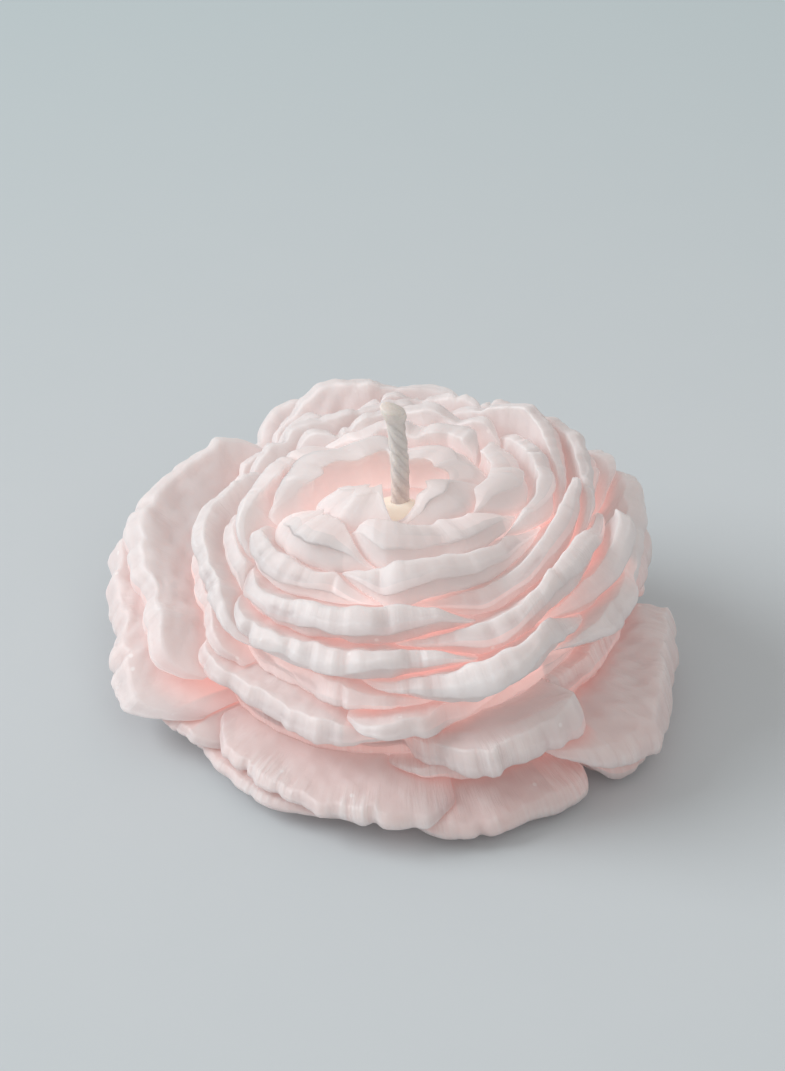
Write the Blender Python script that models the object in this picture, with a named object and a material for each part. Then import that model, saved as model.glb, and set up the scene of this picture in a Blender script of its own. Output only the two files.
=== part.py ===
"""A peony candle: a turned wax core with its wick, and ten rows of separate wax petals."""
import math
from collections import namedtuple

import bmesh
import bpy
import numpy as np

# Every petal is a patch of one family of nested bowls that grow from the core.
# A place in the family is a layer, a distance out along that layer, and an azimuth.
# Petals that keep to their own layers can't meet, whatever the sizes are.

# Clearances, in metres
CLEARANCE = 0.0003
ROOT_CLEARANCE = 0.0004

# The wax core
CORE_RADIUS = 0.027
CORE_DOME_HEIGHT = 0.031
CORE_FOOT_HEIGHT = 0.003
CORE_RING_COUNT = 9
CORE_SIDE_COUNT = 32

# The nested layers: the first grows near the top of the dome, the last at its foot
TOP_LAYER_ANGLE = math.radians(3.0)
FOOT_LAYER_ANGLE = math.radians(89.5)
LAYER_COUNT = 11
LONGEST_PETAL = 0.0157
PETAL_LENGTH_SHARES = (0.36, 0.44, 0.53, 0.62, 0.72, 0.81, 0.92, 1.0, 0.94, 0.84, 0.72)
ROOT_ANGLES = (38.0, 42.0, 64.0, 75.0, 80.0, 83.0, 82.0, 77.0, 76.0, 84.0, 88.0)
LIP_ANGLES = (-45.0, -50.0, -14.0, 2.0, 9.0, 15.0, 28.0, 50.0, 86.0, 112.0, 106.0)

# The bloom has opened further on one side than on the other
OPEN_ANGLE = 36.0
OPEN_AZIMUTH = math.radians(-168.0)
OPEN_SHARES = (0.0, 0.1, 0.4, 0.8, 1.0, 1.0, 1.0, 1.0, 0.6, 0.1, 0.0)

# The bloom sits askew on its foot: it leans, tilts and is wider than deep at its heart
BLOOM_SHIFT = 0.0013
LEAN_SLOPE = 0.11
TILT_RIGHT_SLOPE = 0.15
TILT_BACK_SLOPE = 0.13
TILT_FULL_HEIGHT = 0.018
HEART_STRETCH = 0.75
HEART_STRETCH_RADIUS = 0.018
HEART_ADVANCE = 0.0010

# Ruffles: waves round the bloom that push the lips in and out together
RUFFLE_DEPTH = 0.0012
RUFFLE_COUNT = 8
RUFFLE_TWIST = 0.7
RUFFLE_POWER = 1.3

# Petal section, as shares of the room between two layers
LIP_INNER_SHARE = 0.08
LIP_OUTER_SHARE = 0.56
THINNING_POWER = 2.0
TAPER_POWER = 5.0
HEART_ROOM_SHARE = 0.20
MARGIN_SHARE = 0.12
RIM_FILL_SHARE = 0.5
RIM_START_SHARE = 0.90

# Wick, its metal tab, and the pool of wax that seals it
WICK_RADIUS = 0.0014
WICK_FREE_LENGTH = 0.0183
WICK_STRAIGHT_LENGTH = 0.004
WICK_FOOT_HEIGHT = 0.0006
WICK_KNOT_LENGTH = 0.0035
WICK_KNOT_SHARE = 1.42
WICK_TIP_SHIFT = 0.0012
TAB_RADIUS = 0.0075
TAB_THICKNESS = 0.0005
TAB_NECK_RADIUS = 0.0023
TAB_NECK_HEIGHT = 0.006
SEAL_RADIUS = 0.0029
SEAL_THICKNESS = 0.0014
SEAL_WAVE_SHARE = 0.08
SEAL_THINNING_SHARE = 0.5
SEAL_RING_COUNT = 3
BORE_SIDE_COUNT = 16
CUT_OVERRUN = 0.004

Petal = namedtuple("Petal", "row azimuth span reach outline")

# Lip outlines, as shares of the petal's reach from its left margin to its right
OUTLINE_SHARES = {
    "round": (0.70, 0.84, 0.94, 0.99, 1.0, 0.99, 0.94, 0.84, 0.70),
    "broad": (0.75, 0.92, 0.97, 1.0, 0.97, 1.0, 0.96, 0.92, 0.75),
    "wavy": (0.72, 0.90, 0.86, 1.0, 0.92, 0.98, 0.86, 0.96, 0.72),
    "rising": (0.55, 0.66, 0.74, 0.80, 0.86, 0.90, 0.96, 1.0, 0.85),
    "falling": (0.80, 0.96, 1.0, 0.98, 0.92, 0.85, 0.76, 0.66, 0.55),
    "pointed": (0.60, 0.70, 0.82, 0.93, 1.0, 0.93, 0.82, 0.70, 0.60),
    "late": (0.28, 0.32, 0.38, 0.46, 0.58, 0.75, 0.95, 1.0, 0.80),
    "climbing": (0.35, 0.42, 0.52, 0.66, 0.82, 0.94, 1.0, 0.98, 0.80),
    "pillow": (0.60, 0.80, 0.90, 0.95, 0.97, 1.0, 1.0, 1.0, 0.92),
    "tucked": (0.50, 0.62, 0.78, 0.92, 1.0, 0.96, 0.92, 0.88, 0.70),
    "dipping": (0.80, 0.98, 0.98, 0.84, 0.72, 0.70, 0.66, 0.60, 0.45),
    "peak": (0.62, 0.72, 0.84, 0.96, 1.0, 0.88, 0.76, 0.66, 0.55),
    "sunken": (0.20, 0.20, 0.20, 0.24, 0.40, 0.74, 1.0, 0.90, 0.70),
    "sagging": (0.70, 0.86, 1.0, 0.96, 0.80, 0.62, 0.50, 0.42, 0.34),
    "ramp": (0.46, 0.60, 0.72, 0.84, 0.95, 1.0, 1.0, 0.98, 0.74),
    "strip": (0.25, 0.30, 0.42, 0.72, 1.0, 0.35, 0.12, 0.10, 0.10),
    "left_curl": (0.80, 1.0, 0.80, 0.42, 0.20, 0.12, 0.12, 0.12, 0.12),
    "rolled": (0.35, 0.55, 0.74, 0.90, 1.0, 0.95, 0.78, 0.58, 0.40),
    "droop": (0.60, 0.90, 0.82, 0.74, 0.74, 0.88, 0.98, 0.82, 0.45),
    "shoulder": (0.86, 1.0, 1.04, 1.02, 1.0, 0.96, 0.86, 0.72, 0.58),
    "folded": (0.60, 0.84, 0.86, 0.86, 0.98, 1.14, 1.18, 1.10, 0.88),
    "tongue": (0.30, 0.46, 0.64, 0.84, 0.88, 0.90, 1.0, 1.06, 0.92),
    "fan": (0.85, 1.0, 1.0, 0.98, 0.97, 0.95, 0.92, 0.86, 0.70),
    "flap": (0.80, 0.98, 1.00, 0.94, 0.86, 0.80, 0.76, 0.70, 0.60),
    "hem": (0.50, 0.72, 0.92, 1.0, 1.02, 1.0, 0.98, 0.90, 0.50),
}

ROW_NAMES = (
    "heart",
    "bud",
    "inner_cup",
    "cup",
    "outer_cup",
    "inner_bloom",
    "bloom",
    "collar",
    "skirt",
    "foot",
)

# One spiral of petals from the heart outwards: row, azimuth and half span in degrees,
# reach as a share of the row's length, and outline
PETALS = (
    Petal(1, -140, 56, 1.36, "pillow"),
    Petal(1, -54, 52, 1.15, "climbing"),
    Petal(1, 38, 52, 1.10, "round"),
    Petal(1, 125, 54, 1.34, "broad"),
    Petal(2, -140, 48, 0.90, "tucked"),
    Petal(2, -64, 56, 0.94, "dipping"),
    Petal(2, 8, 46, 0.95, "round"),
    Petal(2, 80, 46, 1.05, "broad"),
    Petal(2, 150, 46, 1.00, "round"),
    Petal(3, -138, 46, 0.70, "falling"),
    Petal(3, -60, 56, 0.88, "sagging"),
    Petal(3, 14, 46, 1.05, "pointed"),
    Petal(3, 85, 48, 1.05, "wavy"),
    Petal(3, 158, 46, 0.70, "round"),
    Petal(4, -112, 52, 0.96, "ramp"),
    Petal(4, -34, 52, 1.10, "late"),
    Petal(4, 40, 48, 1.20, "pointed"),
    Petal(4, 112, 50, 1.05, "round"),
    Petal(4, 178, 46, 1.00, "falling"),
    Petal(5, -112, 50, 0.95, "rising"),
    Petal(5, -42, 52, 1.02, "rising"),
    Petal(5, 30, 50, 1.10, "round"),
    Petal(5, 102, 50, 1.10, "wavy"),
    Petal(5, 172, 46, 0.78, "falling"),
    Petal(6, -122, 46, 0.58, "sunken"),
    Petal(6, -64, 42, 1.08, "rolled"),
    Petal(6, -8, 36, 1.25, "strip"),
    Petal(6, 52, 42, 0.95, "round"),
    Petal(6, 105, 42, 1.40, "peak"),
    Petal(6, 164, 42, 1.50, "falling"),
    Petal(7, -128, 44, 0.58, "droop"),
    Petal(7, -66, 42, 0.80, "left_curl"),
    Petal(7, 0, 44, 1.00, "rising"),
    Petal(7, 58, 42, 1.10, "wavy"),
    Petal(7, 112, 42, 1.50, "pointed"),
    Petal(7, 168, 44, 1.56, "shoulder"),
    Petal(8, -130, 42, 0.12, "round"),
    Petal(8, -67, 24, 0.92, "tongue"),
    Petal(8, -2, 42, 0.95, "late"),
    Petal(8, 62, 44, 1.10, "round"),
    Petal(8, 122, 44, 1.20, "wavy"),
    Petal(8, 178, 42, 1.00, "broad"),
    Petal(9, -114, 37, 0.88, "folded"),
    Petal(9, -64, 34, 0.40, "wavy"),
    Petal(9, -16, 44, 1.20, "fan"),
    Petal(9, 50, 44, 1.00, "broad"),
    Petal(9, 110, 44, 1.00, "wavy"),
    Petal(9, 168, 42, 1.00, "broad"),
    Petal(10, -134, 44, 0.88, "broad"),
    Petal(10, -70, 30, 1.02, "hem"),
    Petal(10, -4, 42, 1.08, "flap"),
)

# Grid of one petal: columns across it and rows along it
PETAL_COLUMNS = 8
PETAL_ROWS = 5


def make_material(name, colour, roughness, metallic):
    """A plain Principled material."""
    material = bpy.data.materials.new(name)
    material.use_nodes = True
    shader = material.node_tree.nodes["Principled BSDF"]
    shader.inputs["Base Color"].default_value = (*colour, 1.0)
    shader.inputs["Roughness"].default_value = roughness
    shader.inputs["Metallic"].default_value = metallic
    return material


def make_wax(name, shade=0.0):
    """Blush wax, a little paler towards the foot of the flower."""
    return make_material(f"{name}_wax", (0.86, 0.62 + 0.06 * shade, 0.60 + 0.06 * shade), 0.45, 0.0)


def link_object(name, data, material=None):
    """A new object in the scene's collection."""
    thing = bpy.data.objects.new(name, data)
    bpy.context.scene.collection.objects.link(thing)
    if material is not None:
        data.materials.append(material)
    return thing


def smooth_step(share):
    """Eases from 0 to 1."""
    share = np.clip(share, 0.0, 1.0)
    return share * share * (3.0 - 2.0 * share)


def spline_at(values, x):
    """A smooth curve through evenly spaced values, for x from -1 to 1."""
    values = np.array(values, float)
    last = len(values) - 1
    place = np.clip((x + 1.0) / 2.0 * last, 0.0, last - 1e-9)
    left = place.astype(int)
    f = place - left
    a, b, c, d = (values[np.clip(left + k, 0, last)] for k in (-1, 0, 1, 2))
    return b + 0.5 * f * (c - a + f * (2 * a - 5 * b + 4 * c - d + f * (3 * (b - c) + d - a)))


def by_layer(values, layer):
    """A value that changes smoothly from layer to layer."""
    return np.interp(layer, np.arange(LAYER_COUNT), values)


def dome_point(angle):
    """Radius and height on the core's dome, at an angle from its top."""
    radius = CORE_RADIUS * np.sin(angle)
    height = CORE_FOOT_HEIGHT + CORE_DOME_HEIGHT * np.cos(angle)
    return radius, height


def layer_point(layer, distance, azimuth):
    """Radius and height on a layer, at a distance out from the core along an arc."""
    share = layer / (LAYER_COUNT - 1)
    radius, height = dome_point(TOP_LAYER_ANGLE + (FOOT_LAYER_ANGLE - TOP_LAYER_ANGLE) * share)
    length = LONGEST_PETAL * by_layer(PETAL_LENGTH_SHARES, layer)
    root = by_layer(ROOT_ANGLES, layer)
    openness = by_layer(OPEN_SHARES, layer) * (0.5 + 0.5 * np.cos(azimuth - OPEN_AZIMUTH))
    lip = by_layer(LIP_ANGLES, layer) + OPEN_ANGLE * openness
    half_turn = np.radians(lip - root) / 2.0 * distance / length
    chord = distance * np.sinc(half_turn / np.pi)
    heading = np.radians(root) + half_turn
    return radius + chord * np.sin(heading), height + chord * np.cos(heading)


def ruffle(layer, distance, azimuth):
    """How far the waves push a place out, the more the further it is from the core."""
    share = (distance / LONGEST_PETAL) ** RUFFLE_POWER
    return RUFFLE_DEPTH * share * np.sin(RUFFLE_COUNT * azimuth + RUFFLE_TWIST * layer)


def skew(x, y, z):
    """Stretches the heart sideways, then leans and tilts the bloom on its foot."""
    spread = np.exp(-(x * x + y * y) / HEART_STRETCH_RADIUS**2)
    x = x + HEART_STRETCH * x * spread
    y = y - HEART_ADVANCE * spread
    rise = (TILT_RIGHT_SLOPE * x + TILT_BACK_SLOPE * y) * smooth_step(z / TILT_FULL_HEIGHT)
    lean = LEAN_SLOPE * (CORE_FOOT_HEIGHT + CORE_DOME_HEIGHT - z)
    return x - BLOOM_SHIFT + lean, y, z + rise


def layer_pitch(layer, distance, azimuth):
    """Room between two layers, square to them."""
    r0, z0 = layer_point(layer - 0.5, distance, azimuth)
    r1, z1 = layer_point(layer + 0.5, distance, azimuth)
    r2, z2 = layer_point(layer, distance + CLEARANCE, azimuth)
    r3, z3 = layer_point(layer, distance, azimuth)
    along_r, along_z = (r2 - r3) / CLEARANCE, (z2 - z3) / CLEARANCE
    return np.abs((r1 - r0) * along_z - (z1 - z0) * along_r)


def spiral_turn(petal):
    """Degrees along the spiral at a petal's middle."""
    return 360.0 * petal.row + petal.azimuth


def neighbour_edges(petal):
    """Turns, from a petal's middle, of the margins of the petals before and after it."""
    place = PETALS.index(petal)
    edges = [-petal.span, petal.span]
    if place > 0:
        before = PETALS[place - 1]
        edges[0] = spiral_turn(before) + before.span - spiral_turn(petal)
    if place < len(PETALS) - 1:
        after = PETALS[place + 1]
        edges[1] = spiral_turn(after) - after.span - spiral_turn(petal)
    return edges


def petal_room(petal, turn):
    """Innermost and outermost layer that a petal has to itself, at a turn from its middle."""
    before_edge, after_edge = neighbour_edges(petal)
    middle = petal.row + (petal.azimuth + turn) / 360.0
    inner = np.full_like(turn, -0.5)
    outer = np.full_like(turn, 0.5)
    if before_edge > -petal.span:
        outer = np.clip((turn + petal.span) / (before_edge + petal.span), 0.0, 1.0) - 0.5
    if petal.row == 1:
        inner = inner + (0.5 - HEART_ROOM_SHARE) * (outer + 0.5)
    if after_edge < petal.span:
        inner = np.maximum(inner, np.clip((turn - after_edge) / (petal.span - after_edge), 0.0, 1.0) - 0.5)
    return middle + inner, middle + outer


def petal_turns(petal):
    """Turns of a petal's two margins from its middle, short of where its room ends."""
    before_edge, after_edge = neighbour_edges(petal)
    first = MARGIN_SHARE * (before_edge + petal.span) - petal.span
    last = petal.span - MARGIN_SHARE * (petal.span - after_edge)
    return first, last


def petal_faces(petal):
    """Points of a petal's outer and inner face on one grid."""
    across = np.linspace(-1.0, 1.0, PETAL_COLUMNS + 1)
    along = np.linspace(0.0, 1.0, PETAL_ROWS + 1)
    along[-2] = RIM_START_SHARE
    across, along = np.meshgrid(across, along)
    first, last = petal_turns(petal)
    turn = first + (last - first) * (across + 1.0) / 2.0
    azimuth = np.radians(petal.azimuth + turn)
    length = LONGEST_PETAL * by_layer(PETAL_LENGTH_SHARES, petal.row + petal.azimuth / 360.0)
    lip = length * petal.reach * spline_at(OUTLINE_SHARES[petal.outline], across)
    distance = ROOT_CLEARANCE + (lip - ROOT_CLEARANCE) * along
    inner, outer = petal_room(petal, turn)
    half_gap = CLEARANCE / 2.0 / layer_pitch((inner + outer) / 2.0, distance, azimuth)
    room = outer - inner
    thinning = along**THINNING_POWER
    taper = along**TAPER_POWER
    low = half_gap / room * (1 - thinning) + LIP_INNER_SHARE * thinning
    high = (1 - half_gap / room) * (1 - taper) + LIP_OUTER_SHARE * taper
    rim = np.ones_like(across)
    rim[-1, :] = RIM_FILL_SHARE
    rim[:, 0] = RIM_FILL_SHARE
    rim[:, -1] = RIM_FILL_SHARE
    middle = (low + high) / 2.0
    half = (high - low) / 2.0 * rim
    faces = []
    for side in (1.0, -1.0):
        layer = inner + room * (middle + side * half)
        radius, height = layer_point(layer, distance, azimuth)
        radius = radius + ruffle(layer, distance, azimuth)
        x, y, z = skew(radius * np.cos(azimuth), radius * np.sin(azimuth), height)
        faces.append(np.stack([x, y, z], axis=-1))
    return faces


def petal_mesh(name, petal):
    """A closed petal: two faces and the rim that joins them."""
    outer, inner = petal_faces(petal)
    mesh = bmesh.new()
    sheets = [[[mesh.verts.new(point) for point in line] for line in face] for face in (outer, inner)]
    front, back = sheets
    for j in range(PETAL_ROWS):
        for i in range(PETAL_COLUMNS):
            mesh.faces.new((front[j][i], front[j + 1][i], front[j + 1][i + 1], front[j][i + 1]))
            mesh.faces.new((back[j][i], back[j][i + 1], back[j + 1][i + 1], back[j + 1][i]))
    for rim_front, rim_back in zip(rim_loop(front), rim_loop(back)):
        mesh.faces.new((rim_front[0], rim_front[1], rim_back[1], rim_back[0]))
    bmesh.ops.recalc_face_normals(mesh, faces=mesh.faces)
    data = bpy.data.meshes.new(name)
    mesh.to_mesh(data)
    mesh.free()
    data.shade_smooth()
    return data


def rim_loop(sheet):
    """Pairs of neighbouring points round a sheet's edge."""
    loop = sheet[0][:-1] + [line[-1] for line in sheet[:-1]] + sheet[-1][:0:-1]
    loop += [line[0] for line in sheet[:0:-1]]
    return list(zip(loop, loop[1:] + loop[:1]))


def make_petals():
    """Every petal of every row, each a solid of its own."""
    counts = [0] * len(ROW_NAMES)
    for petal in PETALS:
        counts[petal.row - 1] += 1
        name = f"{ROW_NAMES[petal.row - 1]}_petal_{counts[petal.row - 1]}"
        material = make_wax(name, petal.row / LAYER_COUNT)
        link_object(name, petal_mesh(name, petal), material)


def turned_mesh(name, profile, sides, shape=None):
    """Spins a closed outline of (radius, height) points round the wick's axis."""
    mesh = bmesh.new()
    rings = []
    for radius, height in profile:
        if radius <= 0.0:
            rings.append([mesh.verts.new((0.0, 0.0, height))] * sides)
            continue
        turns = [2.0 * math.pi * k / sides for k in range(sides)]
        rings.append([mesh.verts.new((radius * math.cos(t), radius * math.sin(t), height)) for t in turns])
    closed = profile[0][0] > 0.0
    pairs = list(zip(rings, rings[1:] + rings[:1])) if closed else list(zip(rings, rings[1:]))
    for low, high in pairs:
        for k in range(sides):
            corners = (low[k], low[k - sides + 1], high[k - sides + 1], high[k])
            mesh.faces.new([v for n, v in enumerate(corners) if v not in corners[:n]])
    if shape is not None:
        for vert in mesh.verts:
            vert.co = shape(vert.co)
    bmesh.ops.recalc_face_normals(mesh, faces=mesh.faces)
    data = bpy.data.meshes.new(name)
    mesh.to_mesh(data)
    mesh.free()
    data.shade_smooth()
    data.set_sharp_from_angle(angle=math.radians(40.0))
    return data


def skew_wax(point):
    """The skew of the bloom, for one point."""
    x, y, z = skew(point.x, point.y, point.z)
    return float(x), float(y), float(z)


def make_wick_way():
    """The stepped bore for the wick, its neck and its tab: a hidden cutter."""
    neck_radius = TAB_NECK_RADIUS + CLEARANCE
    recess_radius = TAB_RADIUS + CLEARANCE
    bore_radius = WICK_RADIUS + CLEARANCE
    recess_height = TAB_THICKNESS + CLEARANCE
    neck_height = TAB_NECK_HEIGHT + CLEARANCE
    top_height = CORE_FOOT_HEIGHT + CORE_DOME_HEIGHT + CUT_OVERRUN
    profile = [
        (0.0, -CUT_OVERRUN),
        (recess_radius, -CUT_OVERRUN),
        (recess_radius, recess_height),
        (neck_radius, recess_height),
        (neck_radius, neck_height),
        (bore_radius, neck_height),
        (bore_radius, top_height),
        (0.0, top_height),
    ]
    cutter = link_object("wick_way", turned_mesh("wick_way", profile, BORE_SIDE_COUNT))
    cutter.hide_render = True
    cutter.display_type = "WIRE"
    return cutter


def bore(thing, cutter):
    """Cuts the wick's way through a piece."""
    cut = thing.modifiers.new("wick_way", "BOOLEAN")
    cut.operation = "DIFFERENCE"
    cut.solver = "EXACT"
    cut.object = cutter


def make_core(cutter):
    """The poured heart: a dome on a flat foot, bored for the wick and recessed for its tab."""
    angles = [math.pi / 2.0 * k / CORE_RING_COUNT for k in range(CORE_RING_COUNT + 1)]
    profile = [tuple(float(v) for v in dome_point(angle)) for angle in angles]
    profile[0] = (0.0, profile[0][1])
    profile += [(CORE_RADIUS, 0.0), (0.0, 0.0)]
    core = link_object("core", turned_mesh("core", profile, CORE_SIDE_COUNT, skew_wax), make_wax("core"))
    bore(core, cutter)


def wick_shape(point):
    """Bends the free end of the wick a little to the left."""
    bend_height = CORE_FOOT_HEIGHT + CORE_DOME_HEIGHT + WICK_STRAIGHT_LENGTH
    bent = max(point.z - bend_height, 0.0) / (WICK_FREE_LENGTH - WICK_STRAIGHT_LENGTH)
    return point.x - WICK_TIP_SHIFT * bent * bent, point.y, point.z


def make_wick():
    """The primed cotton wick: upright in the core, bent and knotted where it stands free."""
    top_height = CORE_FOOT_HEIGHT + CORE_DOME_HEIGHT
    tip_height = top_height + WICK_FREE_LENGTH
    knot_height = tip_height - WICK_KNOT_LENGTH
    profile = [
        (0.0, WICK_FOOT_HEIGHT),
        (WICK_RADIUS, WICK_FOOT_HEIGHT),
        (WICK_RADIUS, top_height + WICK_STRAIGHT_LENGTH),
        (WICK_RADIUS, (top_height + WICK_STRAIGHT_LENGTH + knot_height) / 2.0),
        (WICK_RADIUS, knot_height),
        (WICK_RADIUS * WICK_KNOT_SHARE, knot_height + WICK_KNOT_LENGTH / 2.0),
        (WICK_RADIUS, tip_height),
        (0.0, tip_height),
    ]
    data = turned_mesh("wick", profile, BORE_SIDE_COUNT, wick_shape)
    link_object("wick", data, make_material("wick_cotton", (0.80, 0.70, 0.60), 0.85, 0.0))


def make_tab():
    """The pressed metal foot: a disc with a neck crimped round the wick."""
    bore_radius = WICK_RADIUS + CLEARANCE
    profile = [
        (bore_radius, WICK_FOOT_HEIGHT - CLEARANCE),
        (bore_radius, TAB_NECK_HEIGHT),
        (TAB_NECK_RADIUS, TAB_NECK_HEIGHT),
        (TAB_NECK_RADIUS, TAB_THICKNESS),
        (TAB_RADIUS, TAB_THICKNESS),
        (TAB_RADIUS, 0.0),
        (0.0, 0.0),
    ]
    profile.insert(0, (0.0, WICK_FOOT_HEIGHT - CLEARANCE))
    data = turned_mesh("wick_tab", profile, BORE_SIDE_COUNT)
    link_object("wick_tab", data, make_material("tab_metal", (0.70, 0.70, 0.68), 0.35, 1.0))


def seal_shape(point):
    """Lays the seal's flat disc on the dome, thins it outwards and skews it like the bloom."""
    share = math.hypot(point.x, point.y) / SEAL_RADIUS
    turn = math.atan2(point.y, point.x)
    wave = 1.0 - SEAL_WAVE_SHARE * math.sin(3.0 * turn)
    x, y = point.x * wave, point.y * wave
    radius = math.hypot(x, y)
    floor = CORE_FOOT_HEIGHT + CORE_DOME_HEIGHT * math.sqrt(1.0 - (radius / CORE_RADIUS) ** 2)
    height = floor + CLEARANCE + point.z * (1.0 - SEAL_THINNING_SHARE * share**2)
    return tuple(float(v) for v in skew(x, y, height))


def make_seal(cutter):
    """The pool of cream wax round the wick, thin at its wavy edge."""
    rings = [SEAL_RADIUS * k / SEAL_RING_COUNT for k in range(SEAL_RING_COUNT + 1)]
    profile = [(radius, 0.0) for radius in rings] + [(radius, SEAL_THICKNESS) for radius in reversed(rings)]
    data = turned_mesh("wick_seal", profile, CORE_SIDE_COUNT, seal_shape)
    seal = link_object("wick_seal", data, make_material("seal_wax", (0.88, 0.78, 0.62), 0.4, 0.0))
    bore(seal, cutter)


for old in list(bpy.data.objects):
    bpy.data.objects.remove(old, do_unlink=True)
wick_way = make_wick_way()
make_core(wick_way)
make_tab()
make_wick()
make_seal(wick_way)
make_petals()
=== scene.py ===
# %% [markdown]
# # A peony candle, dressed for its photograph
#
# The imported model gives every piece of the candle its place: a domed wax core, a wick in a metal tab, a
# small seal of cream wax, and fifty-one petals laid in ten rows. This script keeps that frame where it is
# and builds the looks round it: petals with thin flared lips, ragged margins and fine streaks, a wick of
# waxed cotton yarns with its clenched end, and light like that of a pale room.
#
# Each cell makes one thing, and prints what it made. All sizes are in metres unless a comment says
# otherwise.

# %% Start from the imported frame
import math
from collections import namedtuple

import bmesh
import bpy
import numpy as np
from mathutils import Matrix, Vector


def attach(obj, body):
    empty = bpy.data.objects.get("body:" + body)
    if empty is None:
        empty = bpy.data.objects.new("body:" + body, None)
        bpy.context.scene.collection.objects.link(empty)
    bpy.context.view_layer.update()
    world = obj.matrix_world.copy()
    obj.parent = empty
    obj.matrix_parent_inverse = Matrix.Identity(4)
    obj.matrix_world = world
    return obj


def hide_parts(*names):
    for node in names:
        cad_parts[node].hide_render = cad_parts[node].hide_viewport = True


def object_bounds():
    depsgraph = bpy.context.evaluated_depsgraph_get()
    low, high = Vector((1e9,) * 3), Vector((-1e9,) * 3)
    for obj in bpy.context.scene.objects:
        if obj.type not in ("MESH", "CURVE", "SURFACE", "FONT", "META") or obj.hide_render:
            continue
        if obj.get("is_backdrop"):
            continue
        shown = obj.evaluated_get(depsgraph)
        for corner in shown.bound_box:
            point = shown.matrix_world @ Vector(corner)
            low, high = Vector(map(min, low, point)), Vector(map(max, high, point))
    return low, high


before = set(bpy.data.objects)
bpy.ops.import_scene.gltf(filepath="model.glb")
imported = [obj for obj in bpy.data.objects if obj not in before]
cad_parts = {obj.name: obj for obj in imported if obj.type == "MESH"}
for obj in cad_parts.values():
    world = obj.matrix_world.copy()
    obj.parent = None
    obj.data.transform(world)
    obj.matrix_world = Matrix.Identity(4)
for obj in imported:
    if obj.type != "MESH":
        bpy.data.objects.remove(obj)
start_low, start_high = (list(map(float, corner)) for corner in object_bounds())
print("nodes in the frame:", len(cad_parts))
print("the frame's box, in mm:", [round(1000 * v, 1) for v in start_low + start_high])

# %% [markdown]
# ## The camera
#
# The photograph looks down on the candle by 34 degrees from half a metre away, through a long lens. The
# view could be matched by eye alone. Here the wick's foot, its tip and the flower's widest points fix the
# camera: with these values the wick stands at the same pixels as in the photograph.

# %% The camera
camera_data = bpy.data.cameras.new("camera")
camera_data.sensor_width = 36.0
camera_data.lens = 109.2
camera = bpy.data.objects.new("camera", camera_data)
camera.location = (-0.00115, -0.40097, 0.29969)
camera.rotation_euler = (math.radians(56.0), 0.0, 0.0)
bpy.context.scene.collection.objects.link(camera)
bpy.context.scene.camera = camera
bpy.context.scene.view_settings.view_transform = "Standard"
print("camera at", [round(v, 3) for v in camera.location], "lens", camera_data.lens)

# %% [markdown]
# ## Small helpers
#
# Hand-rolled wax is never quite smooth. Its waves could be sculpted, but then they would be made once and
# never again. Here they come from a sum of sine waves with seeded directions and phases: the same seed
# always gives the same ripples, so the flower is the same every time it is built. Nearly every surface is
# computed on a grid, so one helper turns a pair of grids into a closed mesh.

# %% Soft steps and ripples
def smooth_step(share):
    """Eases from 0 to 1."""
    share = np.clip(share, 0.0, 1.0)
    return share * share * (3.0 - 2.0 * share)


def ripples(x, y, seed, longest, shortest, count=10):
    """Smooth random ripples, about -1 to 1, of wavelengths between the longest and the shortest."""
    rng = np.random.RandomState(seed)
    total = np.zeros(np.broadcast(x, y).shape)
    for length in np.geomspace(longest, shortest, count):
        angle, phase = rng.uniform(0.0, 2.0 * math.pi, 2)
        strength = (length / longest) ** 0.6
        wave = (x * math.cos(angle) + y * math.sin(angle)) / length
        total += strength * np.sin(2.0 * math.pi * wave + phase)
    return total / math.sqrt(count)


sample = ripples(np.linspace(0.0, 0.01, 5), 0.0, 1, 0.01, 0.002)
print("ripples along a centimetre:", [round(float(v), 2) for v in sample])

# %% From two grids to a closed mesh
def mesh_from_sheets(name, sheets, across, along, folds):
    """A closed mesh from two grids of points, joined along their rims, with two maps of millimetres."""
    front, back = sheets
    rows, columns = front.shape[:2]
    number = np.arange(rows * columns).reshape(rows, columns)
    other = number + rows * columns
    points = np.concatenate([front.reshape(-1, 3), back.reshape(-1, 3)])

    # Each face lists its corners anticlockwise as seen from outside, so that it points outwards.
    def quads(grid):
        corners = [grid[:-1, :-1], grid[:-1, 1:], grid[1:, 1:], grid[1:, :-1]]
        return np.stack([c.ravel() for c in corners], axis=1)

    def rim(line_a, line_b):
        return np.stack([line_a[:-1], line_b[:-1], line_b[1:], line_a[1:]], axis=1)

    loop = np.concatenate([number[0], number[1:, -1], number[-1, -2::-1], number[-2::-1, 0]])
    faces = np.concatenate([quads(number), quads(other)[:, ::-1], rim(loop, loop + rows * columns)])
    data = bpy.data.meshes.new(name)
    data.from_pydata(points.tolist(), [], faces.tolist())
    corner_points = np.empty(len(data.loops), int)
    data.loops.foreach_get("vertex_index", corner_points)
    own = np.stack([across.ravel(), along.ravel()], axis=1)
    fold = np.stack([np.concatenate([f.ravel() for f in folds]), np.tile(along.ravel(), 2)], axis=1)
    for label, flat in (("petal_uv", np.concatenate([own, own])), ("fold_uv", fold)):
        layer = data.uv_layers.new(name=label)
        layer.data.foreach_set("uv", flat[corner_points].ravel())
    data.shade_smooth()
    return data


print("grid helper ready:", mesh_from_sheets.__name__)

# %% Placing a piece
def link_object(name, data, material=None):
    """A new object in the scene's collection."""
    thing = bpy.data.objects.new(name, data)
    bpy.context.scene.collection.objects.link(thing)
    if material is not None:
        data.materials.append(material)
    return thing


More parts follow.
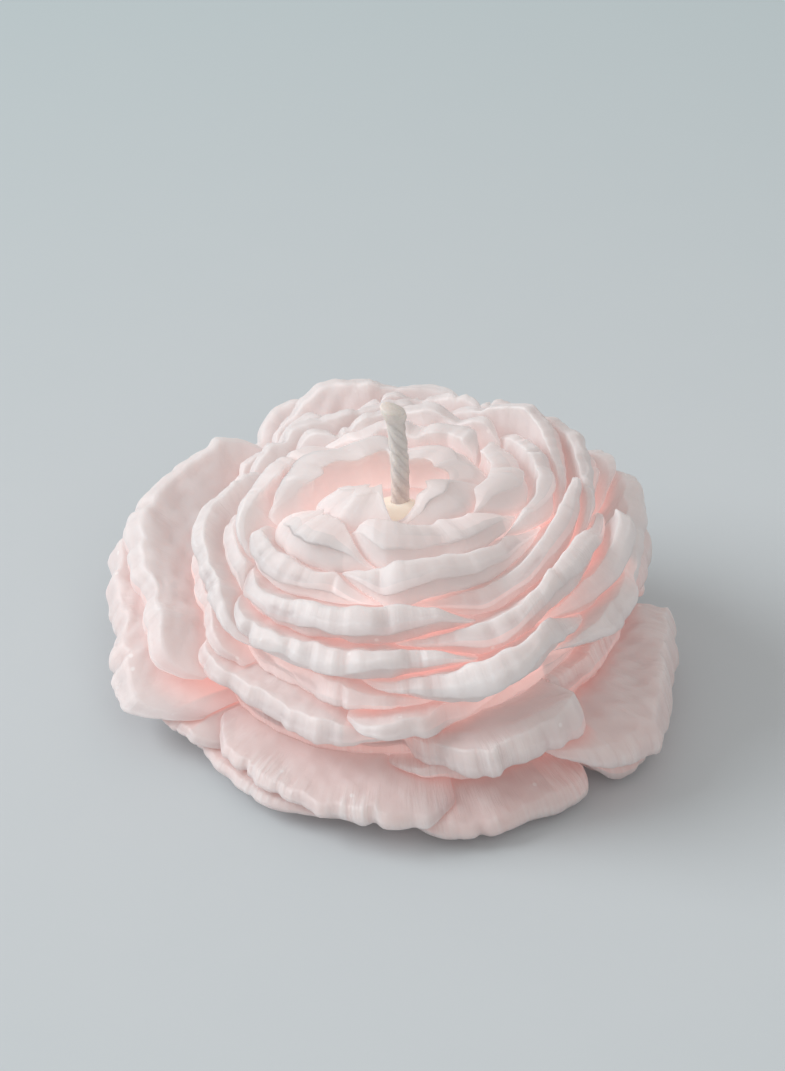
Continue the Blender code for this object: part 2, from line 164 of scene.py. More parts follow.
def put(name, data, material, node, slot_name):
    """Links a piece, rides it on the body, and stands it in for its node."""
    piece = link_object(name, data, material)
    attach(piece, "root")
    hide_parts(node)


print("placing helpers ready:", link_object.__name__, put.__name__)

# %% [markdown]
# ## Wax
#
# Wax is two looks in one: light sinks in and glows pink in the folds, while thin lips turn almost white. A
# picture of wax could be laid over the petals, but it would stretch, so the look is computed instead. The
# deep glow is subsurface scattering, set straight on each material. Light that has passed through several
# leaves costs too many bounces to follow, so a faint emission in the colour of the folds' painted shade
# stands for it: a painted glow. It is strongest in the heart, where the leaves lie closest, and weak on the
# lips. The shade in the folds is painted as well: the colour turns pink where a place lies deep behind its
# neighbours' lips, and towards the foot. What varies over the surface comes from one shared node group that
# reads the petal's own map, across and along it in millimetres, and a map of how deep each place lies in a
# fold: the paler lip, the painted pink shade, the cloudy patches, the streaks that run towards the lip, the
# small bubbles and the fine relief.

# %% Helpers for node trees
def add(tree, kind, links=(), **values):
    """Adds a node, sets its values, and wires its inputs or fills them."""
    node = tree.nodes.new(kind)
    for key, value in values.items():
        setattr(node, key, value)
    for index, source in links:
        if hasattr(source, "is_output"):
            tree.links.new(source, node.inputs[index])
        else:
            node.inputs[index].default_value = source
    return node


def maths(tree, operation, *values):
    """The result of a sum on sockets and numbers."""
    return add(tree, "ShaderNodeMath", enumerate(values), operation=operation).outputs[0]


def fade(tree, value, low, high, start=0.0, end=1.0, curve="LINEAR"):
    """A value carried from the range low to high over to the range start to end."""
    links = enumerate((value, low, high, start, end))
    return add(tree, "ShaderNodeMapRange", links, interpolation_type=curve).outputs[0]


def noise(tree, place, scale, detail, roughness=0.5):
    """Soft noise from 0 to 1."""
    links = ((0, place), (2, scale), (3, detail), (4, roughness))
    return add(tree, "ShaderNodeTexNoise", links).outputs[0]


def split(tree, vector):
    """The three numbers of a vector."""
    return add(tree, "ShaderNodeSeparateXYZ", [(0, vector)]).outputs


def mix_colour(tree, share, first, second):
    """A mix of two colours, by a share that may be a socket or a number."""
    links = ((0, share), (6, first), (7, second))
    return add(tree, "ShaderNodeMix", links, data_type="RGBA").outputs[2]


def set_inputs(node, values):
    """Fills a node's inputs by name."""
    for label, value in values.items():
        node.inputs[label].default_value = value


def new_material(name):
    """A material with its tree and its shader."""
    material = bpy.data.materials.new(name)
    material.use_nodes = True
    return material, material.node_tree, material.node_tree.nodes["Principled BSDF"]


print("node helpers ready:", [helper.__name__ for helper in (add, maths, fade, noise, split, mix_colour)])

# %% The shared group of the waxes
# Scales of the patterns: per metre in space, and per millimetre for the streaks on the petal's map
CLOUD_SCALE = 170.0
MOTTLE_SCALE = 900.0
PATCH_SCALE = 115.0
BUBBLE_SCALE = 300.0
STREAK_SCALE = 0.95
STREAK_STRETCH = (1.0, 0.10, 1.0)

# Depth in a fold and distance from the lip, in millimetres, and height over the table, in metres
FOLD_RANGE = (0.3, 7.5)
STREAK_RANGE = (0.0, 11.0)
LOW_SHADE_RANGE = (0.003, 0.021)

# Bands of a pattern's values that are carried over to a share
NOISE_BAND = (0.3, 0.7)
STREAK_BAND = (0.36, 0.64)
PATCH_BAND = (0.42, 0.62)
BUBBLE_EDGE = (0.07, 0.13)
BUBBLE_PICK = (0.70, 0.72)

# How strongly each look tints the wax, from 0 to 1
# Painted shade: how far the wax turns pink deep in a fold
FOLD_SHADE_STRENGTH = 0.95
# Painted shade: how far the wax turns pink towards the foot
LOW_SHADE_STRENGTH = 0.46
CLOUD_STRENGTH = 0.28
STREAK_STRENGTH = 0.45
BUBBLE_STRENGTH = 0.6
STREAK_COLOUR = (0.88, 0.84, 0.83, 1.0)
BUBBLE_COLOUR = (0.90, 0.87, 0.86, 1.0)
# Painted glow: a faint emission all over the petals, for light carried between the leaves
EVEN_PAINTED_GLOW = (0.13, 0.106, 0.103, 1.0)
ROUGHNESS_RANGE = (0.34, 0.50)


def new_group(name, inputs, outputs):
    """An empty shader node group with the sockets that it is given."""
    group = bpy.data.node_groups.new(name, "ShaderNodeTree")
    for label, kind, default in inputs:
        socket = group.interface.new_socket(label, in_out="INPUT", socket_type=kind)
        socket.default_value = default
    for label, kind in outputs:
        group.interface.new_socket(label, in_out="OUTPUT", socket_type=kind)
    return group


def wax_streaks(group, place, petal, strength):
    """Pale streaks that run towards the lip, in patches, and fade away from it."""
    stretch = add(group, "ShaderNodeVectorMath", [(0, petal), (1, STREAK_STRETCH)], operation="MULTIPLY")
    lines = fade(group, noise(group, stretch.outputs[0], STREAK_SCALE, 3.0, 0.55), *STREAK_BAND)
    patches = fade(group, noise(group, place, PATCH_SCALE, 2.0), *PATCH_BAND, 0.12, 1.0)
    near = fade(group, split(group, petal)[1], *STREAK_RANGE, 1.0, 0.15)
    share = maths(group, "MULTIPLY", strength, near)
    return maths(group, "MULTIPLY", maths(group, "MULTIPLY", lines, patches), share)


def wax_bubbles(group, place):
    """A few small bubbles: the middles of random cells, most of which are left plain."""
    cells = add(group, "ShaderNodeTexVoronoi", [(0, place), (2, BUBBLE_SCALE)]).outputs
    spot = fade(group, cells[0], *BUBBLE_EDGE, 1.0, 0.0)
    kept = fade(group, split(group, cells[1])[0], *BUBBLE_PICK, 0.0, BUBBLE_STRENGTH)
    return maths(group, "MULTIPLY", spot, kept)


def build_wax_group():
    """Colour of hand-rolled wax with painted shade in folds and at the foot, painted glow, roughness,
    relief.
    """
    group = new_group(
        "rolled_wax",
        [
            ("Deep Colour", "NodeSocketColor", (0.8, 0.5, 0.5, 1.0)),
            ("Lip Colour", "NodeSocketColor", (0.9, 0.8, 0.8, 1.0)),
            ("Fold Colour", "NodeSocketColor", (0.8, 0.4, 0.4, 1.0)),
            ("Lip Width", "NodeSocketFloat", 3.0),
            ("Veins", "NodeSocketFloat", 0.5),
        ],
        [
            ("Color", "NodeSocketColor"),
            ("Roughness", "NodeSocketFloat"),
            ("Height", "NodeSocketFloat"),
            ("Glow", "NodeSocketColor"),
        ],
    )
    inlet = add(group, "NodeGroupInput").outputs
    outlet = add(group, "NodeGroupOutput").inputs
    place = add(group, "ShaderNodeTexCoord").outputs["Object"]
    petal = add(group, "ShaderNodeUVMap", uv_map="petal_uv").outputs[0]
    fold = add(group, "ShaderNodeUVMap", uv_map="fold_uv").outputs[0]
    clouds = noise(group, place, CLOUD_SCALE, 3.0, 0.55)
    mottle = noise(group, place, MOTTLE_SCALE, 3.0, 0.6)
    lip_share = maths(group, "DIVIDE", split(group, petal)[1], inlet["Lip Width"])
    wander = maths(group, "MULTIPLY_ADD", clouds, 1.2, -0.6)
    depth = fade(group, maths(group, "ADD", lip_share, wander), 0.0, 1.0, curve="SMOOTHSTEP")
    # Painted shade: the share of pink shade and glow, by how deep a place lies in a fold
    fold_shade_share = fade(group, split(group, fold)[0], *FOLD_RANGE, 0.0, FOLD_SHADE_STRENGTH)
    # Painted shade: the wax turns pinker and darker towards the foot, low over the table
    low_shade_share = fade(group, split(group, place)[2], *LOW_SHADE_RANGE, LOW_SHADE_STRENGTH, 0.0)
    streaks = wax_streaks(group, place, petal, inlet["Veins"])

    body = mix_colour(group, depth, inlet["Lip Colour"], inlet["Deep Colour"])
    cloud_share = fade(group, clouds, *NOISE_BAND, 0.0, CLOUD_STRENGTH)
    body = mix_colour(group, cloud_share, body, inlet["Lip Colour"])
    body = mix_colour(group, fold_shade_share, body, inlet["Fold Colour"])
    body = mix_colour(group, low_shade_share, body, inlet["Fold Colour"])
    body = mix_colour(group, maths(group, "MULTIPLY", streaks, STREAK_STRENGTH), body, STREAK_COLOUR)
    body = mix_colour(group, wax_bubbles(group, place), body, BUBBLE_COLOUR)
    grain = maths(group, "MULTIPLY_ADD", mottle, 0.16, maths(group, "MULTIPLY", clouds, 0.9))

    group.links.new(body, outlet["Color"])
    # Painted glow: an emission, faint all over and in the folds' pink shade colour by depth
    group.links.new(mix_colour(group, fold_shade_share, EVEN_PAINTED_GLOW, inlet["Fold Colour"]), outlet["Glow"])
    group.links.new(fade(group, mottle, *NOISE_BAND, *ROUGHNESS_RANGE), outlet["Roughness"])
    group.links.new(maths(group, "MULTIPLY_ADD", streaks, 0.8, grain), outlet["Height"])
    return group


wax_group = build_wax_group()
print("nodes in the wax group:", len(wax_group.nodes))

# %% [markdown]
# A wax material is a Principled shader with the group's colours, roughness and relief wired into it.
# Whatever is the same all over, such as how far light travels in the wax, is set on the shader's own
# inputs. The core and the seal have no petal's map to read, so their painted glow is one colour all over.

# %% A wax material
WAX_RELIEF = 0.00030
WAX_BODY = {
    "IOR": 1.44,
    "Subsurface Weight": 0.8,
    "Subsurface Radius": (1.0, 0.88, 0.84),
    "Specular IOR Level": 0.45,
}


def wax_material(name, deep, lip, fold, lip_width, veins, painted_glow=0.22, glow_length=0.0044):
    """Wax with subsurface and a painted emission glow set on the shader, and variation from the shared
    group.
    """
    material, tree, shader = new_material(name)
    set_inputs(shader, WAX_BODY)
    set_inputs(shader, {"Subsurface Scale": glow_length, "Emission Strength": painted_glow})
    looks = add(tree, "ShaderNodeGroup", node_tree=wax_group)
    for label, colour in (("Deep Colour", deep), ("Lip Colour", lip), ("Fold Colour", fold)):
        looks.inputs[label].default_value = (*colour, 1.0)
    set_inputs(looks, {"Lip Width": lip_width, "Veins": veins})
    bump = add(tree, "ShaderNodeBump", [("Height", looks.outputs["Height"])])
    set_inputs(bump, {"Strength": 0.6, "Distance": WAX_RELIEF})
    for output, target in (("Color", "Base Color"), ("Roughness", "Roughness"), ("Glow", "Emission Color")):
        tree.links.new(looks.outputs[output], shader.inputs[target])
    tree.links.new(bump.outputs["Normal"], shader.inputs["Normal"])
    return material


def glow_evenly(material, colour):
    """Gives wax without a petal's map the same faint painted glow, an emission, all over."""
    glow = material.node_tree.nodes["Principled BSDF"].inputs["Emission Color"]
    material.node_tree.links.remove(glow.links[0])
    glow.default_value = (*colour, 1.0)


print("wax settings:", WAX_BODY)

# %% The petals' waxes
DEEP = (0.755, 0.703, 0.696)
LIP = (0.735, 0.688, 0.680)
# Painted shade: the pink of the folds, for the skirt, the bloom and the heart
FOLD_SHADE = (0.76, 0.48, 0.45)
BLOOM_FOLD_SHADE = (0.77, 0.53, 0.50)
HEART_FOLD_SHADE = (0.80, 0.66, 0.64)
PETAL_LIP_WIDTH = 2.2
heart_wax = wax_material("heart_wax", DEEP, LIP, HEART_FOLD_SHADE, PETAL_LIP_WIDTH, 0.5, painted_glow=0.42)
bloom_wax = wax_material("bloom_wax", DEEP, LIP, BLOOM_FOLD_SHADE, PETAL_LIP_WIDTH, 0.5, painted_glow=0.36)
skirt_wax = wax_material("skirt_wax", DEEP, LIP, FOLD_SHADE, PETAL_LIP_WIDTH, 1.3)
print("waxes:", [m.name for m in (heart_wax, bloom_wax, skirt_wax)])

# %% [markdown]
# ## The petals' places
#
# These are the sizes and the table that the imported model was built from. Fifty-one leaves could each be
# modelled alone, but then each would have to be kept clear of its neighbours by hand. Instead every petal
# is a patch of one family of nested bowls that grow from the core, so a place on it is a layer, a distance
# out along the layer, and an azimuth. Neighbours that overlap share the room between them: the one laid
# later keeps to the outside.

# %% The core and the layers on it
CLEARANCE = 0.0003
ROOT_CLEARANCE = 0.0004
CORE_RADIUS = 0.027
CORE_DOME_HEIGHT = 0.031
CORE_FOOT_HEIGHT = 0.003
CORE_TOP = CORE_FOOT_HEIGHT + CORE_DOME_HEIGHT

# The nested layers: the first grows near the top of the dome, the last at its foot
TOP_LAYER_ANGLE = math.radians(3.0)
FOOT_LAYER_ANGLE = math.radians(89.5)
LAYER_COUNT = 11
LONGEST_PETAL = 0.0157
PETAL_LENGTH_SHARES = (0.36, 0.44, 0.53, 0.62, 0.72, 0.81, 0.92, 1.0, 0.94, 0.84, 0.72)

# Headings of each layer at its root and at its lip, in degrees from upright
ROOT_ANGLES = (38.0, 42.0, 64.0, 75.0, 80.0, 83.0, 82.0, 77.0, 76.0, 84.0, 88.0)
LIP_ANGLES = (-45.0, -50.0, -14.0, 2.0, 9.0, 15.0, 28.0, 50.0, 86.0, 112.0, 106.0)
print("layers:", LAYER_COUNT, "longest petal, in mm:", 1000 * LONGEST_PETAL)

# %% The table of petals
Petal = namedtuple("Petal", "row azimuth span reach outline")

# Lip outlines, as shares of the petal's reach from its left margin to its right
OUTLINE_SHARES = {
    "round": (0.70, 0.84, 0.94, 0.99, 1.0, 0.99, 0.94, 0.84, 0.70),
    "broad": (0.75, 0.92, 0.97, 1.0, 0.97, 1.0, 0.96, 0.92, 0.75),
    "wavy": (0.72, 0.90, 0.86, 1.0, 0.92, 0.98, 0.86, 0.96, 0.72),
    "rising": (0.55, 0.66, 0.74, 0.80, 0.86, 0.90, 0.96, 1.0, 0.85),
    "falling": (0.80, 0.96, 1.0, 0.98, 0.92, 0.85, 0.76, 0.66, 0.55),
    "pointed": (0.60, 0.70, 0.82, 0.93, 1.0, 0.93, 0.82, 0.70, 0.60),
    "late": (0.28, 0.32, 0.38, 0.46, 0.58, 0.75, 0.95, 1.0, 0.80),
    "climbing": (0.35, 0.42, 0.52, 0.66, 0.82, 0.94, 1.0, 0.98, 0.80),
    "pillow": (0.60, 0.80, 0.90, 0.95, 0.97, 1.0, 1.0, 1.0, 0.92),
    "tucked": (0.50, 0.62, 0.78, 0.92, 1.0, 0.96, 0.92, 0.88, 0.70),
    "dipping": (0.80, 0.98, 0.98, 0.84, 0.72, 0.70, 0.66, 0.60, 0.45),
    "peak": (0.62, 0.72, 0.84, 0.96, 1.0, 0.88, 0.76, 0.66, 0.55),
    "sunken": (0.20, 0.20, 0.20, 0.24, 0.40, 0.74, 1.0, 0.90, 0.70),
    "sagging": (0.70, 0.86, 1.0, 0.96, 0.80, 0.62, 0.50, 0.42, 0.34),
    "ramp": (0.46, 0.60, 0.72, 0.84, 0.95, 1.0, 1.0, 0.98, 0.74),
    "strip": (0.25, 0.30, 0.42, 0.72, 1.0, 0.35, 0.12, 0.10, 0.10),
    "left_curl": (0.80, 1.0, 0.80, 0.42, 0.20, 0.12, 0.12, 0.12, 0.12),
    "rolled": (0.35, 0.55, 0.74, 0.90, 1.0, 0.95, 0.78, 0.58, 0.40),
    "droop": (0.60, 0.90, 0.82, 0.74, 0.74, 0.88, 0.98, 0.82, 0.45),
    "shoulder": (0.86, 1.0, 1.04, 1.02, 1.0, 0.96, 0.86, 0.72, 0.58),
    "folded": (0.60, 0.84, 0.86, 0.86, 0.98, 1.14, 1.18, 1.10, 0.88),
    "tongue": (0.30, 0.46, 0.64, 0.84, 0.88, 0.90, 1.0, 1.06, 0.92),
    "fan": (0.85, 1.0, 1.0, 0.98, 0.97, 0.95, 0.92, 0.86, 0.70),
    "flap": (0.80, 0.98, 1.00, 0.94, 0.86, 0.80, 0.76, 0.70, 0.60),
    "hem": (0.50, 0.72, 0.92, 1.0, 1.02, 1.0, 0.98, 0.90, 0.50),
}

ROW_NAMES = (
    "heart",
    "bud",
    "inner_cup",
    "cup",
    "outer_cup",
    "inner_bloom",
    "bloom",
    "collar",
    "skirt",
    "foot",
)

# One spiral of petals from the heart outwards: row, azimuth and half span in degrees,
# reach as a share of the row's length, and outline
PETALS = (
    Petal(1, -140, 56, 1.36, "pillow"),
    Petal(1, -54, 52, 1.15, "climbing"),
    Petal(1, 38, 52, 1.10, "round"),
    Petal(1, 125, 54, 1.34, "broad"),
    Petal(2, -140, 48, 0.90, "tucked"),
    Petal(2, -64, 56, 0.94, "dipping"),
    Petal(2, 8, 46, 0.95, "round"),
    Petal(2, 80, 46, 1.05, "broad"),
    Petal(2, 150, 46, 1.00, "round"),
    Petal(3, -138, 46, 0.70, "falling"),
    Petal(3, -60, 56, 0.88, "sagging"),
    Petal(3, 14, 46, 1.05, "pointed"),
    Petal(3, 85, 48, 1.05, "wavy"),
    Petal(3, 158, 46, 0.70, "round"),
    Petal(4, -112, 52, 0.96, "ramp"),
    Petal(4, -34, 52, 1.10, "late"),
    Petal(4, 40, 48, 1.20, "pointed"),
    Petal(4, 112, 50, 1.05, "round"),
    Petal(4, 178, 46, 1.00, "falling"),
    Petal(5, -112, 50, 0.95, "rising"),
    Petal(5, -42, 52, 1.02, "rising"),
    Petal(5, 30, 50, 1.10, "round"),
    Petal(5, 102, 50, 1.10, "wavy"),
    Petal(5, 172, 46, 0.78, "falling"),
    Petal(6, -122, 46, 0.58, "sunken"),
    Petal(6, -64, 42, 1.08, "rolled"),
    Petal(6, -8, 36, 1.25, "strip"),
    Petal(6, 52, 42, 0.95, "round"),
    Petal(6, 105, 42, 1.40, "peak"),
    Petal(6, 164, 42, 1.50, "falling"),
    Petal(7, -128, 44, 0.58, "droop"),
    Petal(7, -66, 42, 0.80, "left_curl"),
    Petal(7, 0, 44, 1.00, "rising"),
    Petal(7, 58, 42, 1.10, "wavy"),
    Petal(7, 112, 42, 1.50, "pointed"),
    Petal(7, 168, 44, 1.56, "shoulder"),
    Petal(8, -130, 42, 0.12, "round"),
    Petal(8, -67, 24, 0.92, "tongue"),
    Petal(8, -2, 42, 0.95, "late"),
    Petal(8, 62, 44, 1.10, "round"),
    Petal(8, 122, 44, 1.20, "wavy"),
    Petal(8, 178, 42, 1.00, "broad"),
    Petal(9, -114, 37, 0.88, "folded"),
    Petal(9, -64, 34, 0.40, "wavy"),
    Petal(9, -16, 44, 1.20, "fan"),
    Petal(9, 50, 44, 1.00, "broad"),
    Petal(9, 110, 44, 1.00, "wavy"),
    Petal(9, 168, 42, 1.00, "broad"),
    Petal(10, -134, 44, 0.88, "broad"),
    Petal(10, -70, 30, 1.02, "hem"),
    Petal(10, -4, 42, 1.08, "flap"),
)
print("petals in the table:", len(PETALS))

# %% [markdown]
# ## From a place on a layer to a point in space
#
# A layer starts square off the dome, bends upwards like a cupped hand, and ends at the lip. The whole bloom
# is then stretched at its heart, leaned and tilted, and ruffled. The ruffles could be drawn petal by petal.
# Here they are a wave in the space itself, so neighbouring petals move together and never cut each other.

# %% Along a layer
# The bloom has opened further on one side than on the other: degrees, direction, and share in each layer
OPEN_ANGLE = 36.0
OPEN_AZIMUTH = math.radians(-168.0)
OPEN_SHARES = (0.0, 0.1, 0.4, 0.8, 1.0, 1.0, 1.0, 1.0, 0.6, 0.1, 0.0)


def spline_at(values, x):
    """A smooth curve through evenly spaced values, for x from -1 to 1."""
    values = np.array(values, float)
    last = len(values) - 1
    place = np.clip((x + 1.0) / 2.0 * last, 0.0, last - 1e-9)
    left = place.astype(int)
    f = place - left
    a, b, c, d = (values[np.clip(left + k, 0, last)] for k in (-1, 0, 1, 2))
    return b + 0.5 * f * (c - a + f * (2 * a - 5 * b + 4 * c - d + f * (3 * (b - c) + d - a)))


def by_layer(values, layer):
    """A value that changes smoothly from layer to layer."""
    return np.interp(layer, np.arange(LAYER_COUNT), values)


def dome_point(angle):
    """Radius and height on the core's dome, at an angle from its top."""
    radius = CORE_RADIUS * np.sin(angle)
    height = CORE_FOOT_HEIGHT + CORE_DOME_HEIGHT * np.cos(angle)
    return radius, height


def layer_point(layer, distance, azimuth):
    """Radius and height on a layer, at a distance out from the core along an arc."""
    share = layer / (LAYER_COUNT - 1)
    radius, height = dome_point(TOP_LAYER_ANGLE + (FOOT_LAYER_ANGLE - TOP_LAYER_ANGLE) * share)
    length = LONGEST_PETAL * by_layer(PETAL_LENGTH_SHARES, layer)
    root = by_layer(ROOT_ANGLES, layer)
    openness = by_layer(OPEN_SHARES, layer) * (0.5 + 0.5 * np.cos(azimuth - OPEN_AZIMUTH))
    lip = by_layer(LIP_ANGLES, layer) + OPEN_ANGLE * openness
    half_turn = np.radians(lip - root) / 2.0 * distance / length
    chord = distance * np.sinc(half_turn / np.pi)
    heading = np.radians(root) + half_turn
    return radius + chord * np.sin(heading), height + chord * np.cos(heading)


def layer_pitch(layer, distance, azimuth):
    """Room between two layers, square to them."""
    r0, z0 = layer_point(layer - 0.5, distance, azimuth)
    r1, z1 = layer_point(layer + 0.5, distance, azimuth)
    r2, z2 = layer_point(layer, distance + CLEARANCE, azimuth)
    r3, z3 = layer_point(layer, distance, azimuth)
    along_r, along_z = (r2 - r3) / CLEARANCE, (z2 - z3) / CLEARANCE
    return np.abs((r1 - r0) * along_z - (z1 - z0) * along_r)


middle_lip = layer_point(LAYER_COUNT // 2, LONGEST_PETAL, 0.0)
print("radius and height of the middle layer's lip, in mm:", [round(1000 * float(v), 1) for v in middle_lip])

# %% The bloom's own bend
# It leans, tilts and is wider than deep at its heart
BLOOM_SHIFT = 0.0013
LEAN_SLOPE = 0.11
TILT_RIGHT_SLOPE = 0.15
TILT_BACK_SLOPE = 0.13
TILT_FULL_HEIGHT = 0.018
HEART_STRETCH = 0.75
HEART_STRETCH_RADIUS = 0.018
HEART_ADVANCE = 0.0010

# Ruffles: waves round the bloom that push the lips in and out together
RUFFLE_DEPTH = 0.0012
RUFFLE_COUNT = 8
RUFFLE_TWIST = 0.7
RUFFLE_POWER = 1.3


def ruffle(layer, distance, azimuth):
    """How far the waves push a place out, the more the further it is from the core."""
    share = (distance / LONGEST_PETAL) ** RUFFLE_POWER
    return RUFFLE_DEPTH * share * np.sin(RUFFLE_COUNT * azimuth + RUFFLE_TWIST * layer)


def skew(x, y, z):
    """Stretches the heart sideways, then leans and tilts the bloom on its foot."""
    spread = np.exp(-(x * x + y * y) / HEART_STRETCH_RADIUS**2)
    x = x + HEART_STRETCH * x * spread
    y = y - HEART_ADVANCE * spread
    rise = (TILT_RIGHT_SLOPE * x + TILT_BACK_SLOPE * y) * smooth_step(z / TILT_FULL_HEIGHT)
    lean = LEAN_SLOPE * (CORE_TOP - z)
    return x - BLOOM_SHIFT + lean, y, z + rise


print("the core's top moves to, in mm:", [round(1000 * float(v), 1) for v in skew(0.0, 0.0, CORE_TOP)])

# %% Room between neighbours
HEART_ROOM_SHARE = 0.20
MARGIN_SHARE = 0.12


def spiral_turn(petal):
    """Degrees along the spiral at a petal's middle."""
    return 360.0 * petal.row + petal.azimuth


def neighbour_edges(petal):
    """Turns, from a petal's middle, of the margins of the petals before and after it."""
    place = PETALS.index(petal)
    edges = [-petal.span, petal.span]
    if place > 0:
        before = PETALS[place - 1]
        edges[0] = spiral_turn(before) + before.span - spiral_turn(petal)
    if place < len(PETALS) - 1:
        after = PETALS[place + 1]
        edges[1] = spiral_turn(after) - after.span - spiral_turn(petal)
    return edges


def petal_room(petal, turn):
    """Innermost and outermost layer that a petal has to itself, at a turn from its middle."""
    before_edge, after_edge = neighbour_edges(petal)
    middle = petal.row + (petal.azimuth + turn) / 360.0
    inner = np.full_like(turn, -0.5)
    outer = np.full_like(turn, 0.5)
    if before_edge > -petal.span:
        outer = np.clip((turn + petal.span) / (before_edge + petal.span), 0.0, 1.0) - 0.5
    if petal.row == 1:
        inner = inner + (0.5 - HEART_ROOM_SHARE) * (outer + 0.5)
    if after_edge < petal.span:
        inner = np.maximum(inner, np.clip((turn - after_edge) / (petal.span - after_edge), 0.0, 1.0) - 0.5)
    return middle + inner, middle + outer


def petal_turns(petal):
    """Turns of a petal's two margins from its middle, short of where its room ends."""
    before_edge, after_edge = neighbour_edges(petal)
    first = MARGIN_SHARE * (before_edge + petal.span) - petal.span
    last = petal.span - MARGIN_SHARE * (petal.span - after_edge)
    return first, last


first_room = petal_room(PETALS[0], np.zeros(1))
print("layers at the first petal's middle:", [round(float(v[0]), 2) for v in first_room])

# %% [markdown]
# ## A petal with its looks
#
# The plain petal of the model gets what a leaf of soft wax has when it was pressed by hand: a thin lip that
# flares over a slightly hollow face, a ragged edge with small nicks, lumps that grow towards the lip, and
# on the skirt the upright flutes that the photograph shows under the bloom. Sculpting or displacing the
# plain leaves would soon push them through each other. Here each look is a term in the petal's own formula:
# the ragged edge only shortens a petal and the flutes only cut inwards, so each petal keeps to its own
# room, and places that come near the model's box are eased inwards, so the candle keeps its size.

# %% Edges
LIP_ROUND = 0.0007
SIDE_ROUND = 0.0009
BEND_STEPS = 6
BOX_EASE = 0.0006


def eased_share(count, round_share, both_ends):
    """Places from 0 to 1 that crowd together where an edge is rounded."""
    turn = np.linspace(0.0, math.pi / 2.0, BEND_STEPS + 1)[1:]
    end = 1.0 - round_share * (1.0 - np.sin(turn))
    if both_ends:
        inner = np.linspace(round_share, 1.0 - round_share, count - 2 * BEND_STEPS + 1)
        start = round_share * (1.0 - np.sin(turn))[::-1]
        return np.concatenate([start, inner, end])
    inner = np.linspace(0.0, 1.0 - round_share, count - BEND_STEPS + 1)
    return np.concatenate([inner, end])


def roundness(distance_to_edge, radius):
    """Share of the full thickness left at a distance from a rounded edge."""
    away = np.clip(1.0 - distance_to_edge / radius, 0.0, 1.0)
    return np.sqrt(np.clip(1.0 - away * away, 0.0, 1.0))


def inside_box(values, low, high):
    """Eases coordinates that come near the model's box so that they stay inside it."""
    over = np.maximum(values - (high - BOX_EASE), 0.0)
    under = np.maximum((low + BOX_EASE) - values, 0.0)
    return values - over + BOX_EASE * np.tanh(over / BOX_EASE) + under - BOX_EASE * np.tanh(under / BOX_EASE)


half_way = float(roundness(LIP_ROUND / 2.0, LIP_ROUND))
print("thickness half way into a rounded lip, as a share:", round(half_way, 2))

# %% The lip and its ragged edge
# Waves are given as longest, shortest and count. Tables of shares run from the heart's row to the foot's.
CORNER_START = 0.70
CORNER_DROP = 0.45
CORNER_ROUND = 0.97
RAGGED_DEPTH = 0.0009
RAGGED_LENGTH = 0.009
RAGGED_SHARES = (0.5, 0.7, 0.9, 1.0, 1.0, 1.0, 1.0, 0.9, 0.8, 0.4)
EDGE_WAVES = (0.011, 0.0045, 6)
EDGE_TEARS = (0.003, 0.0011, 8)
EDGE_WAVE_SHARE = 0.70
EDGE_TEAR_SHARE = 0.18
EDGE_START = 0.30
EDGE_SOFTNESS = 0.2
NICK_COUNT = 5
NICK_WIDTHS = (0.0004, 0.0012)
NICK_DEPTHS = (0.3, 1.2)


def ragged_edge(across_metres, seed, depth):
    """How far the lip falls short: gentle waves, fine raggedness and a few nicks."""
    rng = np.random.RandomState(seed)
    wave = ripples(across_metres, 0.0, seed, *EDGE_WAVES)
    fine = ripples(across_metres, 0.0, seed + 500, *EDGE_TEARS)
    short = depth * (EDGE_WAVE_SHARE * wave + EDGE_TEAR_SHARE * fine - EDGE_START)
    short = 0.5 * (short - np.sqrt(short * short + (EDGE_SOFTNESS * depth) ** 2))
    low, high = across_metres.min(), across_metres.max()
    for _ in range(NICK_COUNT):
        centre = rng.uniform(low, high)
        width = rng.uniform(*NICK_WIDTHS)
        cut = rng.uniform(*NICK_DEPTHS) * depth
        short = short - cut * np.exp(-(((across_metres - centre) / width) ** 2))
    return short


def torn_lip(petal, seed, length, across, across_metres):
    """How far out the smooth lip is, and how far the ragged edge falls short of it."""
    corner = np.clip((np.abs(across) - CORNER_START) / (1.0 - CORNER_START), 0.0, 1.0)
    rounding = 1.0 - CORNER_DROP * (1.0 - np.sqrt(1.0 - CORNER_ROUND * corner * corner))
    smooth_lip = length * petal.reach * spline_at(OUTLINE_SHARES[petal.outline], across) * rounding
    ragged = ragged_edge(across_metres, seed, RAGGED_DEPTH * RAGGED_SHARES[petal.row - 1])
    return smooth_lip, ragged * np.clip(smooth_lip / RAGGED_LENGTH, 0.0, 1.0)


edge_sample = ragged_edge(np.linspace(-0.01, 0.01, 50), 1, RAGGED_DEPTH)
print("deepest nick of a sample, in mm:", round(-1000 * float(edge_sample.min()), 2))

